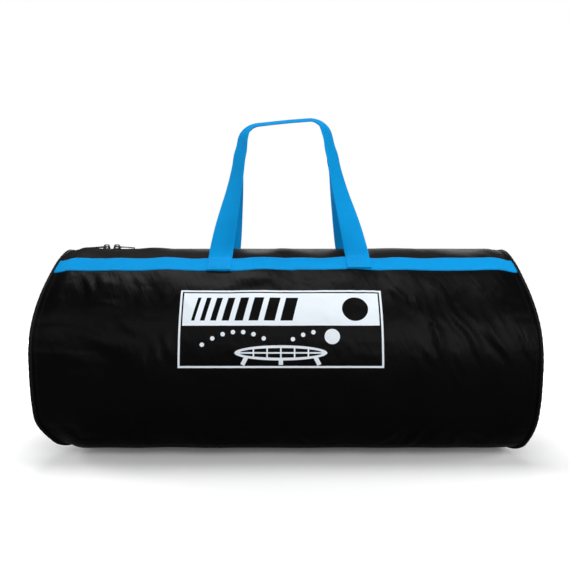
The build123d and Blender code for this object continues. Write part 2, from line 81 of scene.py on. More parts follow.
# ---- Sizes of the cloth ----
CLOTH = 1.2 * MM
BAND_WIDTH = 28.8 * MM
BAND_THICKNESS = 1.4 * MM
BAND_ANGLE = 57.3
STRAP_WIDTH = 30.0 * MM
STRAP_THICKNESS = 1.6 * MM
STITCH_LENGTH, STITCH_PITCH, STITCH_WIDTH = 2.6 * MM, 3.4 * MM, 0.75 * MM
PIPING_RADIUS = 2.2 * MM
GRID_STEP = 4.0 * MM
ANGLE_STEPS = 240
SETTLE_FRAMES, SETTLE_LIMIT = 24, 4.5 * MM
SHARP_EDGE = 50.0


# ---------------------------------------------------------------- small helpers
def smooth(t):
    """0 below 0, 1 above 1, and an S curve between them."""
    t = np.clip(t, 0.0, 1.0)
    return t * t * (3.0 - 2.0 * t)


def unit(vectors):
    return vectors / np.maximum(np.linalg.norm(vectors, axis=-1, keepdims=True), 1e-12)


def arc_lengths(path):
    """Distance along a path of points, at each of them."""
    return np.concatenate([[0], np.cumsum(np.linalg.norm(np.diff(path, axis=0), axis=1))])


def sampled(values, lengths, where):
    """Rows of values, given at some lengths along a path, read at other lengths."""
    return np.stack([np.interp(where, lengths, column) for column in values.T], -1)


def circle_points(x, reach, turn, centre_y, centre_z):
    """Points at a distance and an angle in radians round a line that runs along X."""
    parts = [x, centre_y + reach * np.cos(turn), centre_z + reach * np.sin(turn)]
    return np.stack(np.broadcast_arrays(*parts), -1)


def joined(parts):
    """Points and faces of several meshes, as one."""
    points, faces, count = [], [], 0
    for part_points, part_faces in parts:
        points.append(part_points)
        faces += [[index + count for index in face] for face in part_faces]
        count += len(part_points)
    return np.concatenate(points), faces


def finish_mesh(name, points, faces, uv=None):
    """A smooth-shaded mesh object with outward normals. uv has one pair in metres per point."""
    mesh = bpy.data.meshes.new(name)
    mesh.from_pydata(np.asarray(points).tolist(), [], [tuple(face) for face in faces])
    work = bmesh.new()
    work.from_mesh(mesh)
    bmesh.ops.recalc_face_normals(work, faces=work.faces)
    work.to_mesh(mesh)
    work.free()
    if uv is not None:
        layer = mesh.uv_layers.new(name="UVMap")
        corner = np.zeros(len(mesh.loops), np.int32)
        mesh.loops.foreach_get("vertex_index", corner)
        layer.data.foreach_set("uv", np.asarray(uv, np.float32)[corner].ravel())
    mesh.shade_smooth()
    mesh.set_sharp_from_angle(angle=math.radians(SHARP_EDGE))
    obj = bpy.data.objects.new(name, mesh)
    bpy.context.scene.collection.objects.link(obj)
    return obj


def quads(rows, columns, wrap=False):
    """Quads of a grid whose point (i, j) has the index i * columns + j. wrap joins its two side columns."""
    i = np.arange(rows - 1)[:, None]
    j = np.arange(columns if wrap else columns - 1)[None, :]
    following = (j + 1) % columns
    this, ahead = i * columns, (i + 1) * columns
    corners = [this + j, this + following, ahead + following, ahead + j]
    return np.stack(corners, -1).reshape(-1, 4)


def capped(rows, columns):
    """Quads of a grid closed along its columns, and one face on each of its two open ends."""
    last = (rows - 1) * columns
    ends = [list(range(columns)), list(range(last, last + columns))]
    return quads(rows, columns, wrap=True).tolist() + ends


def sheet(name, outer, inner, uv, wrap=False):
    """A closed cloth sheet between two grids of points of one size. wrap closes it along its columns."""
    rows, columns = outer.shape[:2]
    count = rows * columns
    grid = quads(rows, columns, wrap)
    faces = [grid, grid + count]
    edges = [np.arange(columns), np.arange(columns) + (rows - 1) * columns]
    if wrap:
        edges = [np.append(edge, edge[0]) for edge in edges]
    else:
        edges += [np.arange(rows) * columns, np.arange(rows) * columns + columns - 1]
    for edge in edges:
        faces.append(np.stack([edge[:-1], edge[1:], edge[1:] + count, edge[:-1] + count], -1))
    points = np.concatenate([outer.reshape(-1, 3), inner.reshape(-1, 3)])
    both = np.concatenate([uv.reshape(-1, 2), uv.reshape(-1, 2)])
    return finish_mesh(name, points, np.concatenate(faces), both)


def turns(sides):
    """Angles of the corners of a regular ring, in radians."""
    return np.linspace(0, 2 * np.pi, sides, endpoint=False)


def cord_points(path, along, aim, radius, sides):
    """Rings of points round a path. along is its direction and aim sets where each ring starts."""
    first = unit(np.cross(along, aim))
    second = np.cross(along, first)
    turn = turns(sides)[None, :, None]
    ring = first[:, None] * np.cos(turn) + second[:, None] * np.sin(turn)
    return path[:, None] + ring * np.broadcast_to(radius, len(path))[:, None, None]


def closed_cord(name, path, radius, thickness, sides=10):
    """A round cord along a closed path of points. thickness is a scale for each point."""
    along = unit(np.roll(path, -1, 0) - np.roll(path, 1, 0))
    points = cord_points(path, along, np.array([0.31, 0.52, 0.79]), radius * thickness, sides)
    last = (len(path) - 1) * sides
    faces = quads(len(path), sides, wrap=True).tolist()
    faces += [[last + j, last + (j + 1) % sides, (j + 1) % sides, j] for j in range(sides)]
    uv = np.stack(np.broadcast_arrays(arc_lengths(path)[:, None], turns(sides) * radius), -1)
    return finish_mesh(name, points.reshape(-1, 3), faces, uv.reshape(-1, 2))


# ---------------------------------------------------------------- the bag's skin
rng = np.random.default_rng(7)
GRID_X = np.linspace(-PANEL_HALF, PANEL_HALF, round(2 * PANEL_HALF / GRID_STEP) + 1)
GRID_ANGLE = np.linspace(-270.0, 90.0, ANGLE_STEPS + 1)
X, ANGLE = np.meshgrid(GRID_X, GRID_ANGLE, indexing="ij")
ARC = np.radians(ANGLE) * BAG_RADIUS


def section_radius(angle):
    """Distance from the axis to the unwrinkled cloth: a circle with a flat strip to stand on."""
    rise = -np.sin(np.radians(angle))
    flat = AXIS_Z / np.maximum(rise, 0.2)
    softness = 0.028
    share = np.clip(0.5 + 0.5 * (flat - BAG_RADIUS) / softness, 0, 1)
    return flat + (BAG_RADIUS - flat) * share - softness * share * (1 - share)


def noise_field(fine_x, fine_arc, seed, octaves=2):
    """Smooth noise over the skin with about fine_x and fine_arc features per metre. It doesn't repeat."""
    values = [
        noise.fractal((x * fine_x, arc * fine_arc, seed), 1.0, 2.0, octaves)
        for x, arc in zip(X.ravel(), ARC.ravel())
    ]
    return np.array(values).reshape(X.shape)


WARP_X = X + 7.0 * MM * noise_field(11.0, 11.0, 3.1)
WARP_ARC = ARC + 7.0 * MM * noise_field(11.0, 11.0, 8.7)


def fold(start, end, width, height, bow=0.0):
    """A crease between two places (x, angle) on the skin: a ridge with a hollow on its left side."""
    (x0, a0), (x1, a1) = start, end
    s0, s1 = np.radians(a0) * BAG_RADIUS, np.radians(a1) * BAG_RADIUS
    length = math.hypot(x1 - x0, s1 - s0)
    dx, ds = (x1 - x0) / length, (s1 - s0) / length
    along = ((WARP_X - x0) * dx + (WARP_ARC - s0) * ds) / length
    across = (WARP_X - x0) * ds - (WARP_ARC - s0) * dx
    across = (across + bow * 4 * along * (1 - along)) / width
    ends = smooth(along / 0.45) * smooth((1 - along) / 0.45)
    narrow = across * (1.5 - 0.5 * ends)
    ridge = 1 / (1 + np.abs(narrow) ** 2.4)
    hollow = np.exp(-(((narrow - 1.6) / 1.0) ** 2))
    return height * ends * (ridge * np.exp(-((narrow / 2.6) ** 2)) - 0.7 * hollow)


def crumple():
    """Creased unevenness of thin nylon: sharp ridges down to the right, stronger on the right."""
    slant = math.radians(24.0)
    across = WARP_X * math.cos(slant) + WARP_ARC * math.sin(slant)
    down = WARP_X * math.sin(slant) - WARP_ARC * math.cos(slant)
    values = [
        noise.ridged_multi_fractal((a * 24.0, b * 8.0, 5.3), 0.9, 2.1, 3, 1.0, 1.6)
        for a, b in zip(across.ravel(), down.ravel())
    ]
    creases = np.array(values).reshape(X.shape)
    creases -= creases.mean()
    patch = smooth(0.5 + 1.2 * noise_field(5.0, 5.0, 21.0))
    side = 0.45 + 0.55 * smooth((X - 0.08) / 0.08) + 0.2 * smooth((-0.12 - X) / 0.08)
    return 1.1 * MM * creases * side * (0.35 + 0.65 * patch)


def cluster(count, xs, angles, slant, reach, width, height):
    """Creases that run the same way. Each range is (least, most), as the tables below name them."""
    field = np.zeros_like(X)
    for number in range(count):
        share = (number + rng.uniform(0.1, 0.9)) / count
        x0 = xs[0] + share * (xs[1] - xs[0])
        a0 = rng.uniform(*angles)
        way = math.radians(rng.uniform(*slant))
        long = rng.uniform(*reach)
        x1 = x0 + long * math.sin(way)
        a1 = a0 - math.degrees(long * math.cos(way) / BAG_RADIUS)
        bow = rng.uniform(-5, 5) * MM
        field += fold((x0, a0), (x1, a1), rng.uniform(*width) * MM, rng.uniform(*height) * MM, bow)
    return field


# Each row: how many creases, x in metres, angle of the upper end, slant in degrees from straight
# down to the right, length in metres, width in millimetres, height in millimetres.
FRONT_CREASES = (
    (15, (0.118, 0.262), (24, 48), (14, 32), (0.05, 0.12), (2.4, 4.6), (1.3, 2.6)),
    (7, (0.150, 0.245), (2, 22), (10, 34), (0.04, 0.08), (2.4, 4.0), (0.9, 1.8)),
    (16, (-0.020, 0.150), (42, 52), (10, 46), (0.018, 0.042), (2.0, 3.4), (0.6, 1.4)),
    (4, (-0.176, -0.140), (10, 24), (-8, 10), (0.05, 0.09), (2.6, 4.4), (1.1, 1.9)),
    (9, (-0.270, -0.100), (38, 52), (-25, 25), (0.02, 0.06), (3.0, 5.0), (0.6, 1.3)),
    (4, (-0.285, -0.200), (2, 30), (40, 80), (0.04, 0.08), (7.0, 11.0), (0.7, 1.2)),
    (9, (0.100, 0.260), (-42, -30), (-40, 20), (0.03, 0.07), (3.0, 5.0), (0.8, 1.7)),
    (8, (-0.200, 0.060), (-40, -8), (-30, 40), (0.04, 0.09), (4.0, 7.0), (0.5, 1.1)),
)
REAR_CREASES = (
    (12, (-0.270, -0.120), (-232, -205), (158, 200), (0.05, 0.11), (2.6, 4.8), (1.0, 2.2)),
    (12, (-0.080, 0.140), (-232, -214), (140, 215), (0.03, 0.08), (2.6, 4.8), (0.8, 1.8)),
    (9, (0.120, 0.280), (-215, -190), (140, 190), (0.04, 0.10), (2.8, 5.0), (1.0, 2.2)),
    (16, (-0.280, 0.280), (-190, -140), (-60, 60), (0.03, 0.08), (3.0, 6.0), (0.6, 1.4)),
)
SMALL_CREASES = ((60, (-0.285, 0.285), (-230, 50), (-20, 60), (0.02, 0.07), (2.5, 6.0), (0.2, 0.8)),)


def seam_puckers():
    """Short gathers that run away from the end seams and from both bands."""
    field = np.zeros_like(X)
    for end in (-1, 1):
        to_seam = PANEL_HALF - end * X
        near = np.exp(-to_seam / 0.022) * (0.15 + 0.85 * smooth(to_seam / 0.009))
        for _ in range(70):
            centre = rng.uniform(-240, 60)
            width = rng.uniform(1.2, 2.4)
            gap = (ANGLE - centre - rng.normal(0, 20) * to_seam) / width
            field += near * rng.uniform(-1.1, 1.1) * MM * np.exp(-(gap**2))
    for band in (BAND_ANGLE, -180 - BAND_ANGLE):
        for _ in range(90):
            centre = rng.uniform(-PANEL_HALF, PANEL_HALF)
            below = (band - ANGLE) if band > 0 else (ANGLE - band)
            reach = rng.uniform(5, 13)
            near = np.where(below > 0, np.exp(-below / reach), np.exp(below / 8.0))
            lean = rng.normal(0.7, 0.4) * MM
            gap = (X - centre - lean * below) / (rng.uniform(2.5, 5.0) * MM)
            field += near * rng.uniform(-0.8, 0.8) * MM * np.exp(-(gap**2))
    return field


def undulation():
    """Broad unevenness of the stuffed bag."""
    field = np.zeros_like(X)
    for _ in range(14):
        along, around = rng.uniform(4, 16), rng.integers(1, 6)
        phase = rng.uniform(0, 2 * np.pi, 2)
        swing = np.cos(along * X * 2 * np.pi / 0.9 + phase[0])
        field += 0.45 * MM * swing * np.cos(around * np.radians(ANGLE) + phase[1])
    return field


def top_waves():
    """The two top panels rise and dip a little along the bag, between the zip and the bands."""
    field = np.zeros_like(X)
    away = np.minimum(np.abs(ANGLE - 77), np.abs(ANGLE + 257))
    near = np.exp(-((away / 9.0) ** 2))
    for _ in range(26):
        centre = rng.uniform(-0.29, 0.29)
        width = rng.uniform(10, 30) * MM
        side = 1.0 if rng.uniform() < 0.6 else -0.8
        field += near * side * rng.uniform(0.6, 1.9) * MM * np.exp(-(((X - centre) / width) ** 2))
    return field


def on_print():
    """1 where the print stiffens the cloth, 0 elsewhere."""
    middle = (PRINT_BOX[0].x + PRINT_BOX[1].x) / 2
    outside = np.abs(X - middle) - (PRINT_BOX[1].x - PRINT_BOX[0].x) / 2
    return smooth(-outside / 0.02) * smooth((ANGLE + 8) / 8) * smooth((46 - ANGLE) / 8)


END_ZONE, CORNER_ZONE = 0.250, 0.272  # half lengths from which the bag tapers to its seams
END_DROP = 3.5 * MM                   # how much the shoulders sink at the ends
END_LIFT = (6.0 * MM, 2.0 * MM)       # how much the underside rises at the left and the right end
PULL_HIGH = 7.0 * MM                  # how far the seams are drawn in at the top
PULL_LOW = (20.0 * MM, 8.0 * MM)      # and at the bottom, left and right
WRINKLE_LIMIT = 4.0 * MM


def make_skin():
    """Points of the whole skin, on the grid of X and ANGLE."""
    sine = np.sin(np.radians(ANGLE))
    upper = smooth((sine - 0.05) / 0.8)
    lower = smooth((-sine - 0.46) / 0.48)
    at_end = smooth((np.abs(X) - END_ZONE) / (PANEL_HALF - END_ZONE))
    at_corner = smooth((np.abs(X) - CORNER_ZONE) / (PANEL_HALF - CORNER_ZONE))
    drop = END_DROP * at_corner * upper
    lifted = np.where(X < 0, *END_LIFT) * lower * at_end**2
    radius = section_radius(ANGLE) - drop - lifted
    wrinkles = sum(cluster(*row) for row in FRONT_CREASES + REAR_CREASES + SMALL_CREASES)
    wrinkles = wrinkles + crumple() + seam_puckers() + undulation()
    wrinkles *= 1 - 0.55 * on_print()
    band_gap = np.minimum(np.abs(ANGLE - BAND_ANGLE), np.abs(ANGLE + 180 + BAND_ANGLE))
    wrinkles *= 1 - 0.75 * np.exp(-((band_gap / 7.5) ** 2))
    wrinkles += top_waves()
    height_above_floor = AXIS_Z + radius * sine
    wrinkles *= smooth(height_above_floor / 0.03)
    zip_gap = np.minimum(np.abs(ANGLE - 90), np.abs(ANGLE + 270))
    wrinkles *= smooth((zip_gap - 2.0) / 7.0)
    radius = radius + WRINKLE_LIMIT * np.tanh(wrinkles / WRINKLE_LIMIT)
    pull = PULL_HIGH * upper + np.where(X < 0, *PULL_LOW) * lower + MM * np.cos(np.radians(ANGLE) * 5 + 1.0)
    x = X - np.sign(X) * pull * at_end
    points = np.stack([x, -radius * np.cos(np.radians(ANGLE)), AXIS_Z + radius * sine], -1)
    points[..., 2] = np.maximum(points[..., 2], 0.0)
    return points


LOOSE_LENGTH, LOOSE_GIRTH = 1.018, 1.014  # size of the loose cloth against the bag


def settle(points):
    """The skin after a short cloth simulation of its body panel, which is a little too large for the bag.

    Light pressure stands for what is packed inside. The seams and the ground strip are held, and no
    point moves further than SETTLE_LIMIT.
    """
    columns = np.flatnonzero((GRID_ANGLE >= -180 - LIP_ANGLE) & (GRID_ANGLE <= LIP_ANGLE))
    start = points[:, columns]
    rows, count = start.shape[:2]
    axis = np.array([0, 0, AXIS_Z])
    loose = axis + (start - axis) * np.array([LOOSE_LENGTH, LOOSE_GIRTH, LOOSE_GIRTH])
    mesh = bpy.data.meshes.new("loose_panel")
    mesh.from_pydata(start.reshape(-1, 3).tolist(), [], quads(rows, count).tolist())
    obj = bpy.data.objects.new("loose_panel", mesh)
    bpy.context.scene.collection.objects.link(obj)
    obj.shape_key_add(name="Basis")
    rest = obj.shape_key_add(name="loose")
    rest.data.foreach_set("co", loose.ravel().astype(np.float32))
    held = start[..., 2] < 2 * MM
    held[[0, -1]] = True
    held[:, [0, 1, -2, -1]] = True
    group = obj.vertex_groups.new(name="held")
    group.add(np.flatnonzero(held).tolist(), 1.0, "REPLACE")
    cloth = obj.modifiers.new("cloth", "CLOTH")
    settings = cloth.settings
    settings.quality = 4
    settings.mass = 0.002
    settings.tension_stiffness = settings.compression_stiffness = 10
    settings.shear_stiffness = 5
    settings.bending_stiffness = 0.05
    settings.tension_damping = settings.compression_damping = settings.shear_damping = 1.0
    settings.bending_damping = 0.3
    settings.vertex_group_mass = "held"
    settings.rest_shape_key = rest
    settings.use_pressure = True
    settings.uniform_pressure_force = 0.06
    settings.effector_weights.gravity = 0.05
    cloth.collision_settings.use_collision = False
    cloth.point_cache.frame_start = 1
    cloth.point_cache.frame_end = SETTLE_FRAMES
    for number in range(1, SETTLE_FRAMES + 1):
        bpy.context.scene.frame_set(number)
    settled = np.zeros(start.size, np.float32)
    evaluated = obj.evaluated_get(bpy.context.evaluated_depsgraph_get())
    evaluated.data.vertices.foreach_get("co", settled)
    move = settled.reshape(start.shape) - start
    bpy.data.objects.remove(obj)
    bpy.context.scene.frame_set(1)
    length = np.linalg.norm(move, axis=-1, keepdims=True)
    capped_length = SETTLE_LIMIT * np.tanh(length / SETTLE_LIMIT)
    points[:, columns] = start + move * capped_length / np.maximum(length, 1e-9)
    points[..., 2] = np.maximum(points[..., 2], 0.0)
    return points


def outward_normals(points):
    """Outward normals of the skin. It meets itself at the top."""
    along_x = np.gradient(points, axis=0)
    round_bag = np.gradient(points, axis=1)
    round_bag[:, 0] = round_bag[:, -1] = points[:, 1] - points[:, -2]
    return unit(np.cross(along_x, round_bag))


SKIN = settle(make_skin())
SKIN_NORMAL = outward_normals(SKIN)


def skin(x, angle, lift=0.0):
    """Points at these places (x, angle) on the skin, moved outwards by lift. Past 90 comes the rear."""
    x, angle, lift = np.broadcast_arrays(*(np.asarray(values, float) for values in (x, angle, lift)))
    angle = (angle + 270.0) % 360.0 - 270.0
    u = np.clip((x + PANEL_HALF) / (2 * PANEL_HALF) * (len(GRID_X) - 1), 0, len(GRID_X) - 1.000001)
    v = np.clip((angle + 270.0) * ANGLE_STEPS / 360.0, 0, ANGLE_STEPS - 0.000001)
    i, j = u.astype(int), v.astype(int)
    s, t = (u - i)[..., None], (v - j)[..., None]

    def mix(field):
        low = field[i, j] * (1 - t) + field[i, j + 1] * t
        high = field[i + 1, j] * (1 - t) + field[i + 1, j + 1] * t
        return low * (1 - s) + high * s

    return mix(SKIN) + unit(mix(SKIN_NORMAL)) * lift[..., None]


def skin_normal(x, angle):
    return unit(skin(x, angle, MM) - skin(x, angle))


def drape(name, xs, angles, low, high):
    """A cloth sheet that lies on the skin between two heights above it, of which high may be an array."""
    x, angle = np.meshgrid(xs, angles, indexing="ij")
    uv = np.stack([x, np.radians(angle) * BAG_RADIUS], -1)
    return sheet(name, skin(x, angle, high), skin(x, angle, low), uv)


def steps(first, last, step):
    return np.linspace(first, last, max(2, round(abs(last - first) / step) + 1))


# ---------------------------------------------------------------- materials
class Nodes:
    """Short hand for building the node tree of a material, in the colour of a slot of the record."""

    def __init__(self, slot, name=None):
        self.colour = SLOTS[slot]["base_color"][:3] if slot in SLOTS else (1, 1, 1)
        self.material = bpy.data.materials.new(name or slot)
        self.material.use_nodes = True
        self.tree = self.material.node_tree
        self.shader = self.tree.nodes["Principled BSDF"]

    def add(self, kind, **settings):
        node = self.tree.nodes.new(kind)
        for key, value in settings.items():
            if hasattr(node, key):
                setattr(node, key, value)
            else:
                node.inputs[key.replace("_", " ")].default_value = value
        return node

    def link(self, source, target):
        self.tree.links.new(source, target)

    def place(self, scale, uv=True, turn=0.0):
        """Texture coordinates in metres, turned by some degrees and then scaled."""
        coordinate = self.add("ShaderNodeTexCoord")
        rotate = self.add("ShaderNodeMapping")
        rotate.inputs["Rotation"].default_value = (0, 0, math.radians(turn))
        size = self.add("ShaderNodeMapping")
        size.inputs["Scale"].default_value = scale
        self.link(coordinate.outputs["UV" if uv else "Object"], rotate.inputs["Vector"])
        self.link(rotate.outputs["Vector"], size.inputs["Vector"])
        return size.outputs["Vector"]

    def noise(self, scale, detail=3.0, uv=False):
        texture = self.add("ShaderNodeTexNoise", Detail=detail)
        texture.inputs["Scale"].default_value = 1.0
        self.link(self.place((scale, scale, scale), uv), texture.inputs["Vector"])
        return texture.outputs["Fac"]

    def wave(self, direction, per_metre, uv=True):
        texture = self.add("ShaderNodeTexWave", bands_direction=direction)
        texture.inputs["Scale"].default_value = 1.0
        size = per_metre / (20.0 / (2 * math.pi))
        self.link(self.place((size, size, size), uv), texture.inputs["Vector"])
        return texture.outputs["Fac"]

    def math(self, operation, first, second):
        node = self.add("ShaderNodeMath", operation=operation)
        for socket, value in zip(node.inputs, (first, second)):
            if isinstance(value, (int, float)):
                socket.default_value = value
            else:
                self.link(value, socket)
        return node.outputs[0]

    def ramp(self, value, low, high):
        node = self.add("ShaderNodeMapRange")
        node.inputs["To Min"].default_value = low
        node.inputs["To Max"].default_value = high
        self.link(value, node.inputs["Value"])
        return node.outputs["Result"]

    def colours(self, value, first, second):
        node = self.add("ShaderNodeMix", data_type="RGBA")
        self.link(value, node.inputs["Factor"])
        node.inputs[6].default_value = (*first, 1)
        node.inputs[7].default_value = (*second, 1)
        return node.outputs[2]

    def tones(self, value, low, high):
        """The material's own colour, darker where value is 0 and lighter where it is 1."""
        return self.colours(value, shade(self.colour, low), shade(self.colour, high))

    def bump(self, height, distance, strength=1.0, under=None):
        node = self.add("ShaderNodeBump")
        node.inputs["Distance"].default_value = distance
        node.inputs["Strength"].default_value = strength
        self.link(height, node.inputs["Height"])
        if under is not None:
            self.link(under, node.inputs["Normal"])
        return node.outputs["Normal"]

    def edge_wear(self, low=0.52, high=0.60):
        """Near 1 on convex edges, 0 elsewhere."""
        pointy = self.add("ShaderNodeNewGeometry").outputs["Pointiness"]
        node = self.add("ShaderNodeMapRange")
        node.inputs["From Min"].default_value = low
        node.inputs["From Max"].default_value = high
        self.link(pointy, node.inputs["Value"])
        return node.outputs["Result"]

    def set(self, **values):
        for key, value in values.items():
            socket = self.shader.inputs[key.replace("_", " ")]
            if isinstance(value, bpy.types.NodeSocket):
                self.link(value, socket)
            else:
                socket.default_value = value
        return self.material


def shade(colour, factor):
    return tuple(min(1.0, channel * factor) for channel in colour)


def nylon(slot, gloss=0.42, shine=0.10, streaks=0.0):
    """Thin coated nylon: plain weave, faint crinkle, patchy gloss, and hair creases down to the right."""
    n = Nodes(slot)
    threads = n.math("MULTIPLY", n.wave("X", 900), n.wave("Y", 900))
    patches = n.noise(14.0)
    cloth = n.bump(n.noise(110.0, 5.0), 0.9 * MM, 0.25)
    if streaks:
        across = n.add("ShaderNodeTexNoise", Detail=4.0, Distortion=0.6)
        across.inputs["Scale"].default_value = 1.0
        n.link(n.place((170.0, 26.0, 1.0), turn=-24.0), across.inputs["Vector"])
        cloth = n.bump(across.outputs["Fac"], streaks * MM, 0.8, cloth)
    return n.set(
        Base_Color=n.tones(patches, 0.7, 1.3),
        Roughness=n.ramp(patches, gloss - 0.06, gloss + 0.10),
        Specular_IOR_Level=shine,
        Normal=n.bump(threads, 0.10 * MM, 0.35, cloth),
    )


def webbing(slot):
    """Woven webbing: ribs along its length, crossed by the weft, with a soft sheen."""
    n = Nodes(slot, "webbing_x")
    ribs = n.wave("Y", 700)
    weft = n.wave("X", 520)
    threads = n.math("MULTIPLY", ribs, weft)
    soil = n.noise(40.0)
    tone = n.math("ADD", n.math("MULTIPLY", threads, 0.35), n.math("MULTIPLY", soil, 0.65))
    return n.set(
        Base_Color=n.tones(tone, 0.86, 1.10),
        Roughness=0.8,
        Specular_IOR_Level=0.03,
        Normal=n.bump(threads, 0.22 * MM, 0.5),
    )


def thread(slot):
    """Twisted thread or cord."""
    n = Nodes(slot)
    twist = n.noise(1500.0)
    return n.set(
        Base_Color=n.tones(twist, 0.8, 1.2),
        Roughness=0.55,
        Normal=n.bump(twist, 0.1 * MM, 0.4),
    )


def plastic(slot, gloss):
    """Moulded plastic with fine grain, faint streaks and paler rubbed edges."""
    n = Nodes(slot)
    streaks = n.noise(60.0)
    base = n.tones(streaks, 0.85, 1.2)
    wear = n.add("ShaderNodeMix", data_type="RGBA")
    n.link(n.edge_wear(), wear.inputs["Factor"])
    n.link(base, wear.inputs[6])
    wear.inputs[7].default_value = (*[channel * 1.5 + 0.02 for channel in n.colour], 1)
    return n.set(
        Base_Color=wear.outputs[2],
        Roughness=n.ramp(streaks, gloss - 0.05, gloss + 0.08),
        Normal=n.bump(n.noise(900.0), 0.03 * MM, 0.5),
    )


def enamel(slot):
    """Black enamel on cast zinc, rubbed to dull metal in small spots on the sharpest edges."""
    n = Nodes(slot)
    speckle = n.noise(2500.0)
    worn = n.math("MULTIPLY", n.edge_wear(0.60, 0.80), speckle)
    return n.set(
        Base_Color=n.colours(worn, n.colour, (0.25, 0.24, 0.23)),
        Metallic=n.ramp(worn, 0.1, 1.0),
        Roughness=n.ramp(speckle, 0.24, 0.40),
        Normal=n.bump(speckle, 0.02 * MM, 0.4),
    )


def steel(slot):
    """Bright steel with fine scratches."""
    n = Nodes(slot)
    scratches = n.noise(3000.0)
    return n.set(
        Base_Color=n.colours(scratches, (0.5, 0.5, 0.5), (0.68, 0.68, 0.67)),
        Metallic=1.0,
        Roughness=n.ramp(scratches, 0.2, 0.35),
    )


def ball_rubber(slot):
    """Dimpled rubber of a small inflated ball."""
    n = Nodes(slot)
    cells = n.add("ShaderNodeTexVoronoi", feature="SMOOTH_F1")
    cells.inputs["Scale"].default_value = 1.0
    n.link(n.place((330, 330, 330), uv=False), cells.inputs["Vector"])
    dust = n.noise(45.0)
    return n.set(
        Base_Color=n.tones(dust, 0.82, 1.08),
        Roughness=n.ramp(dust, 0.45, 0.6),
        Normal=n.bump(cells.outputs["Distance"], 0.8 * MM, 0.6),
    )


def ink(slot):
    """A printed film: white, semi-matt, with hairline cracks where the cloth flexes."""
    n = Nodes(slot)
    cracks = n.noise(260.0, 6.0)
    dirt = n.noise(25.0)
    return n.set(
        Base_Color=n.tones(dirt, 0.94, 1.05),
        Roughness=0.5,
        Specular_IOR_Level=0.3,
        Normal=n.bump(cracks, 0.25 * MM, 0.35),
    )


MATERIALS = {
    "body_nylon": nylon("body_nylon", gloss=0.36, shine=0.055, streaks=0.5),
    # top_nylon's base colour is the body nylon made lighter: painted light, standing in for the light that falls
    # on the top panels from above.
    "top_nylon": nylon("top_nylon", gloss=0.5, shine=0.09, streaks=0.3),
    "webbing": webbing("webbing"),
    "thread": thread("thread"),
    "piping": nylon("piping", gloss=0.5),
    "print_ink": ink("print_ink"),
    "zip_tape": nylon("zip_tape", gloss=0.65),
    "zip_coil": plastic("zip_coil", 0.35),
    "zip_metal": enamel("zip_metal"),
    "tube_plastic": plastic("tube_plastic", 0.42),
    "socket_plastic": plastic("socket_plastic", 0.35),
    "foot_rubber": plastic("foot_rubber", 0.7),
    "net_cord": thread("net_cord"),
    "ball_rubber": ball_rubber("ball_rubber"),
    "pump_plastic": plastic("pump_plastic", 0.22),
    "needle_steel": steel("needle_steel"),
}


def dress(obj, slot):
    """Gives a piece its material."""
    obj.data.materials.clear()
    obj.data.materials.append(MATERIALS[slot])
    return obj


def place(obj, slot, body, *nodes):
    """Dresses a piece, makes it ride on a body, and lets it stand for CAD nodes."""
    dress(obj, slot)
    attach(obj, body)
    if nodes:
        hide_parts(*nodes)
    return obj


# ---------------------------------------------------------------- stitches
def stitch_row(path, normals):
    """Points and faces of short threads along a path, each lying flat on the cloth."""
    lengths = arc_lengths(path)
    centres = np.arange(STITCH_PITCH / 2, lengths[-1], STITCH_PITCH)
    middle = sampled(path, lengths, centres)
    ahead = sampled(path, lengths, centres + STITCH_LENGTH / 2)
    behind = sampled(path, lengths, centres - STITCH_LENGTH / 2)
    forward = unit(ahead - behind)
    up = unit(sampled(normals, lengths, centres))
    side = unit(np.cross(forward, up))
    turn = turns(6)
    rings = []
    for share, size in ((-0.5, 0.35), (-0.3, 1.0), (0.3, 1.0), (0.5, 0.35)):
        sink = 0.25 * STITCH_WIDTH * (1 - size)
        base = middle + forward * share * STITCH_LENGTH - up * sink
        wide = side[:, None] * (np.cos(turn) * size * STITCH_WIDTH / 2)[None, :, None]
        tall = up[:, None] * (np.sin(turn) * size * STITCH_WIDTH * 0.4)[None, :, None]
        rings.append(base[:, None] + wide + tall)
    one = capped(len(rings), len(turn))
    return joined((points.reshape(-1, 3), one) for points in np.stack(rings, 1))


def stitch_piece(name, rows):
    """One mesh object from several rows of stitches, each a pair of path and normals."""
    return finish_mesh(name, *joined(stitch_row(path, normals) for path, normals in rows))


def skin_row(xs, angles, lift):
    """A row of stitches on the skin: its path and normals."""
    xs, angles = np.broadcast_arrays(np.asarray(xs, float), np.asarray(angles, float))
    return skin(xs, angles, lift), skin_normal(xs, angles)


# ---------------------------------------------------------------- panels, ends and piping
def build_body_panel():
    panel = drape("body_panel_cloth", GRID_X, steps(-180 - LIP_ANGLE, LIP_ANGLE, 1.0), -CLOTH, 0.0)
    place(panel, "body_nylon", "bag", "body_panel")


def seam_ring(end):
    """Points of the end seam, once round the bag."""
    return SKIN[-1 if end > 0 else 0][:-1]


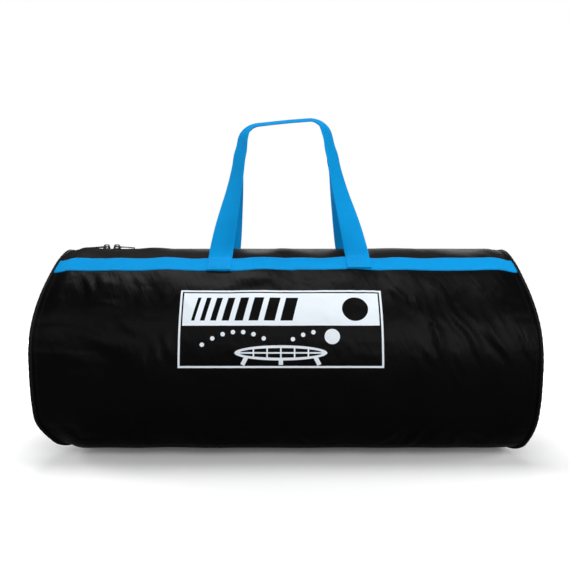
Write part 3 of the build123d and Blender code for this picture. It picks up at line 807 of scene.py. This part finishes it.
def build_end(side, end):
    """A slack round panel, gathered into the seam, and the piping that hides the seam."""
    ring = seam_ring(end)
    centre = np.array([ring[:, 0].mean(), 0.0, AXIS_Z - 4 * MM])
    share = np.linspace(1.0, 0.02, 44)[:, None]
    angle = np.radians(GRID_ANGLE[:-1])[None, :]
    flat = centre + (ring - centre)[None] * share[..., None]
    bulge = 0.85 * END_DOME * (1 - share**2.4)
    gathers = np.zeros_like(share * angle)
    for _ in range(46):
        place_angle, size = rng.uniform(-270, 90), rng.uniform(0.4, 1.0)
        apart = np.angle(np.exp(1j * (angle - math.radians(place_angle))))
        gap = apart / math.radians(rng.uniform(1.8, 4.0))
        fade = share**3 * (1 - share**16)
        gathers += rng.choice((-1, 1)) * size * 1.5 * MM * np.exp(-(gap**2)) * fade
    slack = np.zeros_like(gathers)
    for _ in range(16):
        phase, way = rng.uniform(0, 2 * np.pi, 2)
        across = share * np.cos(angle - way) * rng.uniform(5, 13) + phase
        slack += 0.55 * MM * np.sin(across) * (1 - share**4)
    flat[..., 0] += end * (bulge + gathers + slack)
    inner = flat.copy()
    inner[..., 0] -= end * CLOTH
    uv = np.stack([flat[..., 1], flat[..., 2]], -1)
    panel = end_mesh(f"end_panel_{side}_cloth", flat, inner, uv)
    place(panel, "body_nylon", "bag", f"end_panel_{side}")

    outward = unit(np.stack([np.zeros(len(ring)), ring[:, 1], ring[:, 2] - AXIS_Z], -1))
    path = ring + np.array([end * 1.6 * MM, 0, 0]) + outward * 0.4 * MM
    path[:, 2] = np.maximum(path[:, 2], PIPING_RADIUS)
    thickness = 1 + 0.06 * np.sin(np.radians(GRID_ANGLE[:-1]) * 97)
    piping = closed_cord(f"piping_{side}_cord", path, PIPING_RADIUS, thickness)
    place(piping, "piping", "bag", f"piping_{side}")


def end_mesh(name, outer, inner, uv):
    """A round cloth sheet, whose last ring is closed by a small face on each side of the cloth."""
    rows, columns = outer.shape[:2]
    count = rows * columns
    last = (rows - 1) * columns
    around = quads(rows, columns, wrap=True)
    faces = around.tolist() + (around + count).tolist()
    faces.append([last + j for j in range(columns)])
    faces.append([count + last + j for j in range(columns)])
    for j in range(columns):
        following = (j + 1) % columns
        faces.append([j, following, count + following, count + j])
    points = np.concatenate([outer.reshape(-1, 3), inner.reshape(-1, 3)])
    return finish_mesh(name, points, faces, np.concatenate([uv.reshape(-1, 2)] * 2))


# ---------------------------------------------------------------- bands and sewing
def band_centre(x):
    """The band isn't sewn quite straight: its angle drifts along the bag."""
    return BAND_ANGLE + 0.45 * np.sin(x * 11.0 + 0.8) + 0.30 * np.sin(x * 27.0)


def band_angle(x, share, side):
    """Angle at a share (-0.5 to 0.5) of the band's width, low to high, on the front (-1) or rear (1)."""
    angle = band_centre(x) + share * math.degrees(BAND_WIDTH / BAG_RADIUS)
    return angle if side < 0 else -180.0 - angle


def build_band(name, side):
    shares = np.array([-0.5, -0.485, -0.45, -0.3, -0.15, 0, 0.15, 0.3, 0.45, 0.485, 0.5])
    x, share = np.meshgrid(GRID_X, shares, indexing="ij")
    angle = band_angle(x, share, side)
    crown = np.sqrt(np.clip(1 - (np.abs(share) * 2) ** 14, 0.0, 1))
    high = 0.25 * MM + (BAND_THICKNESS - 0.25 * MM) * crown
    uv = np.stack([x, share * BAND_WIDTH], -1)
    band = sheet(f"band_{name}_webbing", skin(x, angle, high), skin(x, angle, 0.05 * MM), uv)
    place(band, "webbing", "bag", f"band_{name}")
    rows = [skin_row(GRID_X, band_angle(GRID_X, share, side), BAND_THICKNESS) for share in (-0.41, 0.41)]
    place(stitch_piece(f"band_{name}_stitches", rows), "thread", "bag")


def build_seam_stitches():
    """A row of black stitches beside each end seam."""
    rows = []
    for end in (-1, 1):
        angles = steps(-180 - 50, 50, 1.0)
        rows.append(skin_row(end * (PANEL_HALF - 5 * MM), angles, 0.1 * MM))
    place(stitch_piece("end_seam_stitches", rows), "piping", "bag")


# ---------------------------------------------------------------- handles
def rounded(corners, radius, step=2.0 * MM):
    """A path through corners in a plane, each inner corner rounded to radius, with even steps."""
    corners = [Vector(corner) for corner in corners]
    points = [corners[0]]
    for before, corner, after in zip(corners, corners[1:], corners[2:]):
        back, ahead = (before - corner).normalized(), (after - corner).normalized()
        half = back.angle(ahead) / 2
        reach = radius / math.tan(half)
        centre = corner + (back + ahead).normalized() * radius / math.sin(half)
        first, last = corner + back * reach - centre, corner + ahead * reach - centre
        for share in np.linspace(0, 1, 12):
            points.append(centre + first.slerp(last, share).normalized() * radius)
    points.append(corners[-1])
    points = np.array(points)
    lengths = arc_lengths(points)
    even = np.linspace(0, lengths[-1], round(lengths[-1] / step) + 1)
    return sampled(points, lengths, even)


FOOT_HALF = STRAP_WIDTH / 2
FOOT_X = (FEET_BOX[0].x + FOOT_HALF, FEET_BOX[1].x - FOOT_HALF)
GRIP_X = (-53.8 * MM, 49.6 * MM)                              # ends of the grip
GRIP_HEIGHTS = (180 * MM, 191 * MM)                           # and their heights over the feet
GRIP_TILTS = {-1: math.radians(20.5), 1: math.radians(12.0)}  # turn of the front and rear grips past edge-on
GRIP_CORNER = 21 * MM
GRIP_MIDDLE = 18.5 * MM                                       # from the bag's middle plane to each grip
REAR_RISE = 8 * MM                                            # how much higher the rear handle stands
GRIP_BOW = 1.5 * MM
KINK_HEIGHT, KINK_REACH = 146 * MM, 16 * MM                   # where each leg buckles below the grip


def handle_frame(side):
    """Origin, way up, way the strap faces at its feet, and lean, for the handle on side -1 or 1."""
    origin = Vector((0, side * -FRONT_HINGE.y, FRONT_HINGE.z))
    lean = math.asin((-FRONT_HINGE.y - GRIP_MIDDLE) / (sum(GRIP_HEIGHTS) / 2))
    up = Vector((0, -side * math.sin(lean), math.cos(lean)))
    facing = Vector((0, side * math.cos(lean), math.sin(lean)))
    return origin, up, facing, lean


def free_loop(side):
    """Centre line and width directions of the free part of a handle, whose legs twist a quarter turn."""
    origin, up, facing, lean = handle_frame(side)
    rise = REAR_RISE if side > 0 else 0.0
    corners = [
        (FOOT_X[0], 0, 0),
        (GRIP_X[0], GRIP_HEIGHTS[0] + rise, 0),
        (4 * MM, sum(GRIP_HEIGHTS) / 2 + rise + GRIP_BOW, 0),
        (GRIP_X[1], GRIP_HEIGHTS[1] + rise, 0),
        (FOOT_X[1], 0, 0),
    ]
    flat = rounded(corners, GRIP_CORNER)
    height = flat[:, 1]
    full = -side * (math.pi / 2 - lean) - GRIP_TILTS[side]
    climb = np.clip((height / GRIP_HEIGHTS[0] - 0.03) / 0.87, 0, 1)
    kink = np.sin(height / (8 * MM)) * np.exp(-(((height - KINK_HEIGHT) / KINK_REACH) ** 2))
    turn = full * (np.sin(climb * math.pi / 2) + 0.07 * kink)
    centre = np.array(origin) + flat[:, :1] * np.array([1.0, 0, 0]) + height[:, None] * np.array(up)
    along = unit(np.gradient(centre, axis=0))
    facing = np.array(facing)
    width = unit(np.cross(along, facing)) * np.cos(turn)[:, None] + facing * np.sin(turn)[:, None]
    width = unit(width - along * np.sum(width * along, -1, keepdims=True))
    slack = 0.8 * MM * np.sin(height / GRIP_HEIGHTS[0] * 9.0) * smooth(height / 0.03)
    normal = np.cross(width, along)
    return centre + normal * slack[:, None], width


def foot_line(side, x, rising):
    """Centre line of a sewn foot, from the band's lower edge to its upper edge or the other way."""
    shares = np.linspace(-0.5, 0.46, 16)
    if not rising:
        shares = shares[::-1]
    angle = band_angle(x, shares, side)
    lift = BAND_THICKNESS + STRAP_THICKNESS / 2 + 0.1 * MM
    centre = skin(np.full(len(shares), x), angle, lift)
    width = np.tile(np.array([1.0, 0, 0]), (len(shares), 1))
    return centre, width


def strap_line(side):
    """The whole strap: one foot, the free loop, the other foot, with a soft bend at each hinge line."""
    skip = 3
    loop, loop_width = (values[skip:-skip] for values in free_loop(side))
    left, left_width = foot_line(side, FOOT_X[0], True)
    right, right_width = foot_line(side, FOOT_X[1], False)
    centre = np.concatenate([left, loop, right])
    flips = np.sign(loop_width[[0, -1], 0])
    width = np.concatenate([left_width * flips[0], loop_width, right_width * flips[1]])
    lengths = arc_lengths(centre)
    even = np.linspace(0, lengths[-1], round(lengths[-1] / (1.5 * MM)) + 1)
    strap = np.concatenate([sampled(centre, lengths, even), sampled(width, lengths, even)], -1)
    for bend in (lengths[len(left)], lengths[-len(right) - 1]):
        near = np.exp(-(((even - bend) / (9 * MM)) ** 2))[:, None]
        for _ in range(12):
            mean = strap.copy()
            mean[1:-1] = (strap[:-2] + strap[1:-1] + strap[2:]) / 3
            strap = strap + (mean - strap) * near
    return strap[:, :3], unit(strap[:, 3:]), even


def build_handle(name, side):
    """One continuous webbing strap that bends from the bag to the free handle."""
    centre, width, even = strap_line(side)
    along = unit(np.gradient(centre, axis=0))
    width = unit(width - along * np.sum(width * along, -1, keepdims=True))
    normal = np.cross(width, along)
    across = np.array([-0.5, -0.485, -0.46, -0.3, -0.1, 0.1, 0.3, 0.46, 0.485, 0.5]) * STRAP_WIDTH
    crown = np.array([0.35, 0.8, 1.0, 0.96, 0.94, 0.94, 0.96, 1.0, 0.8, 0.35]) * STRAP_THICKNESS / 2
    middle = centre[:, None] + width[:, None] * across[None, :, None]
    rise = normal[:, None] * crown[None, :, None]
    uv = np.stack(np.broadcast_arrays(even[:, None], across[None, :]), -1)
    strap = sheet(f"handle_{name}_strap", middle + rise, middle - rise, uv)
    dress(strap, "webbing")
    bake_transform(strap)
    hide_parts(f"handle_{name}", f"handle_feet_{name}")


def build_foot_stitches():
    """A sewn box with a cross on each foot."""
    box = 11.5 * MM
    lift = BAND_THICKNESS + STRAP_THICKNESS + 0.15 * MM
    a, b, c, d = (-1, -1), (1, -1), (1, 1), (-1, 1)
    lines = [(a, b), (b, c), (c, d), (d, a), (a, c), (d, b)]
    rows = []
    for side in (-1, 1):
        for foot in FOOT_X:
            for (u0, v0), (u1, v1) in lines:
                share = np.linspace(0, 1, 9)
                x = foot + (u0 + (u1 - u0) * share) * box
                across = (v0 + (v1 - v0) * share) * box / BAND_WIDTH
                rows.append(skin_row(x, band_angle(x, across, side), lift))
    place(stitch_piece("foot_stitches", rows), "thread", "bag", "handle_stitching")


# ---------------------------------------------------------------- print
def ellipse(cx, cy, wide, tall, sides=72):
    return [(cx + wide * math.cos(turn), cy + tall * math.sin(turn)) for turn in turns(sides)]


def circle(cx, cy, radius, sides=40):
    return ellipse(cx, cy, radius, radius, sides)


def rectangle(left, low, right, high):
    return [(left, low), (right, low), (right, high), (left, high)]


def stroke(x0, y0, x1, y1, width):
    """A straight bar of a given width."""
    length = math.hypot(x1 - x0, y1 - y0)
    ox, oy = (y0 - y1) / length * width / 2, (x1 - x0) / length * width / 2
    return [(x0 + ox, y0 + oy), (x0 - ox, y0 - oy), (x1 - ox, y1 - oy), (x1 + ox, y1 + oy)]


def print_shapes(half_wide, half_tall):
    """Areas of the print, in millimetres from its middle: each an outline and its holes."""
    line, gap = 2.3, 1.9
    inside_w, inside_t = half_wide - line, half_tall - line
    shapes = [(rectangle(-half_wide, -half_tall, half_wide, half_tall),
               [rectangle(-inside_w, -inside_t, inside_w, inside_t)])]

    # Upper half: a white field with a ball that leaves speed stripes behind it.
    block_w, top, low = inside_w - gap, inside_t - gap, 1.5
    middle, tall, slant = (top + low) / 2, 15.0, 7.0
    stripes, x = [], -block_w + 10
    for width in (4.0, 5.5, 7.0, 8.5, 10.0, 11.5, 13.0, 14.5):
        stripes.append([(x, middle - tall), (x + width, middle - tall),
                        (x + width + slant, middle + tall), (x + slant, middle + tall)])
        x += width + 6.5
    stripes.append(circle(block_w - 28, middle, tall + 0.5))
    shapes.append((rectangle(-block_w, low, block_w, top), stripes))

    # Lower half: the round net on its legs, with a ball that bounces off it.
    net_y, wide, deep = -30.5, 54.0, 8.8
    shapes.append((ellipse(0, net_y, wide, deep), [ellipse(0, net_y, wide - 5.5, deep - 3.2)]))
    for x in (-32, -16, 0, 16, 32):
        reach = (deep - 2.4) * math.sqrt(1 - (x / (wide - 4)) ** 2)
        shapes.append((stroke(x, net_y - reach, x, net_y + reach, 1.8), []))
    shapes.append((stroke(-wide + 4, net_y, wide - 4, net_y, 1.8), []))
    for x in (-40, 0, 40):
        top_of_leg = net_y - deep * math.sqrt(1 - (x / wide) ** 2) + 1.5
        shapes.append((stroke(x, top_of_leg, x * 1.12, -44.5, 5.0), []))
    for x in range(-92, -19, 12):
        shapes.append((circle(x, -6 - 0.0085 * (x + 50) ** 2, 2.6, 24), []))
    for x in range(14, 39, 12):
        shapes.append((circle(x, -5.5 - 0.007 * (x - 50) ** 2, 2.6, 24), []))
    shapes.append((circle(60, -11.5, 9.0), []))
    return shapes


def refined(loop, step=3.0):
    """The same closed outline with no edge longer than step."""
    points = []
    for (x0, y0), (x1, y1) in zip(loop, loop[1:] + loop[:1]):
        count = max(1, math.ceil(math.hypot(x1 - x0, y1 - y0) / step))
        points += [(x0 + (x1 - x0) * k / count, y0 + (y1 - y0) * k / count) for k in range(count)]
    return points


def inside(points, loop):
    """Which points lie inside a closed outline."""
    x, y = points[:, 0], points[:, 1]
    found = np.zeros(len(points), bool)
    loop = np.asarray(loop)
    for (x0, y0), (x1, y1) in zip(loop, np.roll(loop, -1, 0)):
        crosses = (y0 > y) != (y1 > y)
        if y0 != y1:
            found ^= crosses & (x < (x1 - x0) * (y - y0) / (y1 - y0) + x0)
    return found


def cover(points, shapes):
    """Which points lie on the print: inside an outline and outside its holes."""
    covered = np.zeros(len(points), bool)
    for outline, holes in shapes:
        here = inside(points, outline)
        for hole in holes:
            here &= ~inside(points, hole)
        covered |= here
    return covered


def build_print():
    """The white print: one thin film of ink, cut from flat shapes and laid on the cloth."""
    heights = [(corner.z - AXIS_Z) / BAG_RADIUS for corner in PRINT_BOX]
    low_angle, high_angle = (math.degrees(math.asin(height)) for height in heights)
    middle_x = (PRINT_BOX[0].x + PRINT_BOX[1].x) / 2
    middle_angle = (low_angle + high_angle) / 2
    half_wide = (PRINT_BOX[1].x - PRINT_BOX[0].x) / 2 / MM
    half_tall = math.radians(high_angle - low_angle) / 2 * BAG_RADIUS / MM
    shapes = print_shapes(half_wide, half_tall)
    points, edges = [], []
    for outline, holes in shapes:
        for loop in [outline] + holes:
            loop = refined(loop)
            first = len(points)
            points += loop
            edges += [(first + k, first + (k + 1) % len(loop)) for k in range(len(loop))]
    grid = np.meshgrid(np.arange(-half_wide, half_wide, 3.0), np.arange(-half_tall, half_tall, 3.0))
    points += np.stack(grid, -1).reshape(-1, 2).tolist()
    vectors = [Vector(point) for point in points]
    flat, _, triangles, _, _, _ = geometry.delaunay_2d_cdt(vectors, edges, [], 0, 1e-5)
    flat = np.array(flat)
    triangles = np.array(triangles)
    triangles = triangles[cover(flat[triangles].mean(1), shapes)]
    used, triangles = np.unique(triangles, return_inverse=True)
    triangles = triangles.reshape(-1, 3)
    flat = flat[used]
    x = middle_x + flat[:, 0] * MM
    angle = middle_angle + np.degrees(flat[:, 1] * MM / BAG_RADIUS)
    high, low = skin(x, angle, 0.35 * MM), skin(x, angle, 0.05 * MM)
    count = len(flat)
    borders = {}
    for a, b, c in triangles:
        for edge in ((a, b), (b, c), (c, a)):
            borders[frozenset(edge)] = None if frozenset(edge) in borders else edge
    faces = triangles.tolist() + (triangles[:, ::-1] + count).tolist()
    faces += [[b, a, a + count, b + count] for a, b in filter(None, borders.values())]
    uv = np.concatenate([flat * MM] * 2)
    film = finish_mesh("print_film", np.concatenate([high, low]), faces, uv)
    place(film, "print_ink", "bag", "print_panel")


def bend_with_lip(piece, name, *nodes):
    """Bakes the placement of a piece of the zip opening into its mesh and hides the CAD nodes it stands for."""
    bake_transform(piece)
    if nodes:
        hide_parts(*nodes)


def lip_angles(name, first, last, step=1.0):
    """Angles on the front, or the same places mirrored to the rear."""
    angles = steps(first, last, step)
    return angles if name == "front" else -180.0 - angles


def build_top_panel(name):
    """One top panel, from under the band to its turned edge beside the zip."""
    angles = lip_angles(name, LIP_ANGLE - 1.2, SLOT_ANGLE, 0.9)
    to_edge = np.abs(np.abs(angles + 90) - 180)
    edge = np.exp(-(((to_edge - (90 - SLOT_ANGLE)) / 1.6) ** 2))
    panel = drape(f"top_panel_{name}_cloth", GRID_X, angles, -CLOTH, 0.35 * MM * edge)
    # The lighter top_nylon colour here is painted light from above on the top panels.
    dress(panel, "top_nylon")
    bend_with_lip(panel, name, f"top_panel_{name}")
    row_angle = lip_angles(name, SLOT_ANGLE - 1.5, SLOT_ANGLE - 1.4)[0]
    stitches = stitch_piece(f"zip_stitches_{name}", [skin_row(GRID_X, row_angle, 0.25 * MM)])
    dress(stitches, "piping")
    bend_with_lip(stitches, name)


def build_tape(name):
    """Zip tape: woven, with a thicker cord where the coil is sewn on."""
    side = -1 if name == "front" else 1
    xs = steps(TAPE_BOX[0].x, TAPE_BOX[1].x, 2 * MM)
    inner, outer = -TAPE_BOX[1].y, -TAPE_BOX[0].y
    offsets = np.array([inner - 0.4 * MM, inner + 0.6 * MM, inner + 1.6 * MM, 8 * MM, 12 * MM, outer])
    x, y = np.meshgrid(xs, offsets, indexing="ij")
    y[np.abs(xs) > STOPS_BOX[1].x - 2 * MM, 0] = 0.3 * MM  # from the end stops on, the two tapes meet
    middle = (TAPE_BOX[0].z + TAPE_BOX[1].z) / 2
    half = np.array([0.30, 0.38, 0.30, 0.28, 0.28, 0.28]) * MM
    edge = skin(xs, SLOT_ANGLE)
    drop = edge[:, 2:] - AXIS_Z - BAG_RADIUS * math.sin(math.radians(SLOT_ANGLE))
    top, low = (
        np.stack(np.broadcast_arrays(edge[:, :1], side * y, middle + drop + height), -1)
        for height in (half, -half)
    )
    tape = sheet(f"zip_tape_{name}_woven", top, low, np.stack([x, y], -1))
    dress(tape, "zip_tape")
    bend_with_lip(tape, name, f"zip_tape_{name}")


# Half a turn of the coil: millimetres from the middle of the zip, and share of the full thickness.
COIL_PROFILE = ((-0.35, 0.30), (-0.1, 0.62), (0.5, 0.8), (1.4, 0.9), (2.6, 1.0), (3.3, 0.7))


def build_coil(name):
    """The nylon coil: a row of flattened turns that mesh with those of the other side."""
    side = -1 if name == "front" else 1
    pitch = 2.0 * MM
    start = CHAIN_BOX[0].x + (pitch / 2 if side > 0 else 0.0)
    centres = np.arange(start + pitch / 2, CHAIN_BOX[1].x - pitch / 2, pitch)
    middle = (CHAIN_BOX[0].z + CHAIN_BOX[1].z) / 2
    tall = (CHAIN_BOX[1].z - CHAIN_BOX[0].z) / 2 * 0.92
    turn = turns(8)
    rings = []
    for reach, size in COIL_PROFILE:
        ring = np.zeros((len(centres), len(turn), 3))
        thick = 0.46 * MM * (1.25 if reach < 0.3 else 1.0)
        ring[..., 0] = centres[:, None] + np.cos(turn) * thick * min(1.0, size + 0.2)
        ring[..., 1] = side * reach * MM
        ring[..., 2] = middle + np.sin(turn) * tall * size
        rings.append(ring)
    one = capped(len(COIL_PROFILE), len(turn))
    coil_turns = ((points.reshape(-1, 3), one) for points in np.stack(rings, 1))
    coil = finish_mesh(f"zip_coil_{name}", *joined(coil_turns))
    dress(coil, "zip_coil")
    bend_with_lip(coil, name, f"zip_chain_{name}")


def build_end_tabs():
    """A folded fabric tab over each end of the zip."""
    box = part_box("zip_end_tabs")
    wide = math.degrees(box[1].y / BAG_RADIUS)
    for side, end in (("left", -1), ("right", 1)):
        xs = steps(end * (PANEL_HALF - 10.5 * MM), end * PANEL_HALF, 1.5 * MM)
        angles = steps(90 - wide, 90 + wide, 1.0)
        edge = np.minimum(np.abs(xs - xs[0])[:, None] / (1.2 * MM), (wide - np.abs(angles - 90)) / 0.7)
        high = 0.35 * MM + 0.75 * MM * smooth(edge + 0.2)
        tab = drape(f"zip_tab_{side}", xs, angles, 0.1 * MM, high)
        place(tab, "piping", "bag", *(["zip_end_tabs"] if end > 0 else []))


def build_hardware():
    """Sliders, pulls and stops keep their CAD shape, with their edges eased."""
    names = [f"zip_{part}_{side}" for part in ("slider", "puller") for side in ("left", "right")]
    for name in names + ["zip_end_stops"]:
        obj = frame["nodes"][name]
        dress(obj, "zip_metal")
        ease = obj.modifiers.new("ease", "BEVEL")
        ease.width = 0.3 * MM
        ease.segments = 2
        ease.limit_method = "ANGLE"
        ease.angle_limit = math.radians(40)


# ---------------------------------------------------------------- what the bag holds
def build_contents():
    """Tubes, sockets, balls and pump keep their CAD shape and get their own materials."""
    for entry in frame["record"]["subparts"]:
        if entry["node"].startswith(("rim_arc", "leg_", "ball_", "pump_")):
            dress(frame["nodes"][entry["node"]], entry["material_slot"])


NET_CORD = 1.3 * MM
NET_CORDS, NET_HALF_TURNS, NET_STEPS = 12, 5, 150


def build_net():
    """The rolled net: crossing cords over a core of packed net, and two straps round the roll."""
    low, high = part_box("net_roll")
    centre = ((low.y + high.y) / 2, (low.z + high.z) / 2)
    radius = (high.z - low.z) / 2
    length = high.x - low.x
    along = np.linspace(0, 1, NET_STEPS)
    pinch = smooth(along / 0.05) * smooth((1 - along) / 0.05)
    cords = []
    for way in (-1, 1):
        for cord in range(NET_CORDS):
            turn = way * along * NET_HALF_TURNS * np.pi + cord * 2 * np.pi / NET_CORDS
            sag = 0.44 * MM * np.cos(turn * NET_CORDS / 2)
            reach = (radius - 1.4 * MM - way * 0.5 * MM + sag) * (0.55 + 0.45 * pinch)
            path = circle_points(low.x + 3 * MM + along * (length - 6 * MM), reach, turn, *centre)
            forward = unit(np.gradient(path, axis=0))
            points = cord_points(path, forward, np.array([1.0, 0, 0]) + 1e-6, NET_CORD, 6)
            cords.append((points.reshape(-1, 3), capped(NET_STEPS, 6)))
    place(finish_mesh("net_cords", *joined(cords)), "net_cord", "bag", "net_roll")

    rows, columns = 90, 64
    share = np.linspace(0, 1, rows)[:, None]
    turn = turns(columns)[None, :]
    body = (radius - 4 * MM) * np.sqrt(np.clip(1 - (np.abs(share * 2 - 1)) ** 10, 0.02, 1))
    lumps = 1.0 * MM * (np.sin(turn * 9 + share * 40) + np.sin(turn * 5 - share * 23))
    core = circle_points(low.x + 4 * MM + share * (length - 8 * MM), body + lumps, turn, *centre)
    uv = np.stack(np.broadcast_arrays(share * length, turn * radius), -1).reshape(-1, 2)
    place(finish_mesh("net_core", core.reshape(-1, 3), capped(rows, columns), uv), "net_cord", "bag")

    strap_low, strap_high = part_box("net_straps")
    half = 10 * MM
    turn = turns(72)[None, :]
    for side, x in (("left", strap_low.x + half), ("right", strap_high.x - half)):
        xs = np.linspace(x - half, x + half, 7)[:, None]
        outer, inner = (circle_points(xs, radius + lift, turn, *centre) for lift in (1.2 * MM, -0.2 * MM))
        uv = np.stack(np.broadcast_arrays(turn * radius, xs), -1)
        strap = sheet(f"net_strap_{side}", outer, inner, uv, wrap=True)
        place(strap, "webbing", "bag", *(["net_straps"] if side == "left" else []))


# ---------------------------------------------------------------- studio
def floor_paper():
    """White paper. The camera sees it grow brighter away from the bag, until it meets the white backdrop."""
    n = Nodes("floor_paper")
    path = n.add("ShaderNodeLightPath")
    spread = n.add("ShaderNodeVectorMath", operation="LENGTH")
    n.link(n.place((1, 1, 1), uv=False), spread.inputs[0])
    glow = n.add("ShaderNodeMapRange", interpolation_type="SMOOTHSTEP")
    glow.inputs["From Min"].default_value = 0.15
    glow.inputs["From Max"].default_value = 1.00
    glow.inputs["To Min"].default_value = 0.08
    n.link(spread.outputs["Value"], glow.inputs["Value"])
    return n.set(
        Base_Color=n.colours(path.outputs["Is Camera Ray"], (0.30,) * 3, (0.93,) * 3),
        Roughness=0.95,
        Specular_IOR_Level=0.0,
        Emission_Color=(1, 1, 1, 1),
        Emission_Strength=n.math("MULTIPLY", glow.outputs["Result"], path.outputs["Is Camera Ray"]),
    )


def build_stage():
    """The paper floor, and a backdrop that is white to the camera and dim grey to everything else."""
    size, below = 30.0, -0.6 * MM
    corners = [(x, y, below) for x, y in rectangle(-size, -size, size, size)]
    floor = finish_mesh("floor", corners, [(0, 1, 2, 3)])
    floor.data.materials.append(floor_paper())

    world = bpy.data.worlds.new("studio")
    bpy.context.scene.world = world
    world.use_nodes = True
    tree = world.node_tree
    background = tree.nodes["Background"]
    path = tree.nodes.new("ShaderNodeLightPath")
    tone = tree.nodes.new("ShaderNodeMix")
    tone.data_type = "RGBA"
    tone.inputs[6].default_value = (0.06, 0.062, 0.065, 1)
    tone.inputs[7].default_value = (1.0, 1.0, 1.0, 1)
    tree.links.new(path.outputs["Is Camera Ray"], tone.inputs["Factor"])
    tree.links.new(tone.outputs[2], background.inputs["Color"])


# Each lamp: place, width and height in metres, power in watts. All of them face the bag's middle.
LAMPS = {
    "key": ((0.7, -1.6, 0.75), (0.8, 0.6), 9),
    "front": ((-0.2, -2.2, 1.3), (2.0, 1.2), 17),
    "top": ((-0.1, -0.1, 1.9), (1.6, 0.6), 21),
    "left_fill": ((-1.5, -1.3, 0.5), (0.5, 0.8), 3),
    "rear": ((0.3, 1.8, 0.95), (1.6, 0.5), 10),
    "rear_low": ((-0.8, 1.6, 0.2), (0.9, 0.5), 12),
    "right_side": ((1.8, -0.5, 0.65), (0.5, 0.5), 11),
    "left_side": ((-1.8, 0.5, 0.65), (0.5, 0.5), 11),
}


def lamp(name, location, size, power):
    """A soft rectangular lamp that faces the bag's middle."""
    light = bpy.data.lights.new(name, "AREA")
    light.shape = "RECTANGLE"
    light.size, light.size_y = size
    light.energy = power
    obj = bpy.data.objects.new(name, light)
    obj.location = location
    obj.rotation_euler = (Vector((0, 0, AXIS_Z)) - Vector(location)).to_track_quat("-Z", "Y").to_euler()
    bpy.context.scene.collection.objects.link(obj)


def build_camera():
    """The camera stands in front of the upper part of the bag and looks almost straight ahead."""
    camera = bpy.data.cameras.new("camera")
    camera.lens = 41.1
    camera.sensor_width = 36.0
    obj = bpy.data.objects.new("camera", camera)
    distance, rise, dip = 0.90, math.radians(6.0), math.radians(0.22)
    obj.location = (-1.2 * MM, -distance * math.cos(rise), AXIS_Z + distance * math.sin(rise))
    look = Vector((0, 1, -math.tan(dip)))
    obj.rotation_euler = look.to_track_quat("-Z", "Y").to_euler()
    bpy.context.scene.collection.objects.link(obj)
    bpy.context.scene.camera = obj


build_body_panel()
for side_name, end_sign in (("left", -1), ("right", 1)):
    build_end(side_name, end_sign)
build_seam_stitches()
for side_name, side_sign in (("front", -1), ("rear", 1)):
    build_band(side_name, side_sign)
    build_handle(side_name, side_sign)
    build_top_panel(side_name)
    build_tape(side_name)
    build_coil(side_name)
build_foot_stitches()
build_print()
build_end_tabs()
build_hardware()
build_contents()
build_net()
build_stage()
for lamp_name, values in LAMPS.items():
    lamp(lamp_name, *values)
build_camera()

bpy.context.scene.view_settings.view_transform = "Standard"
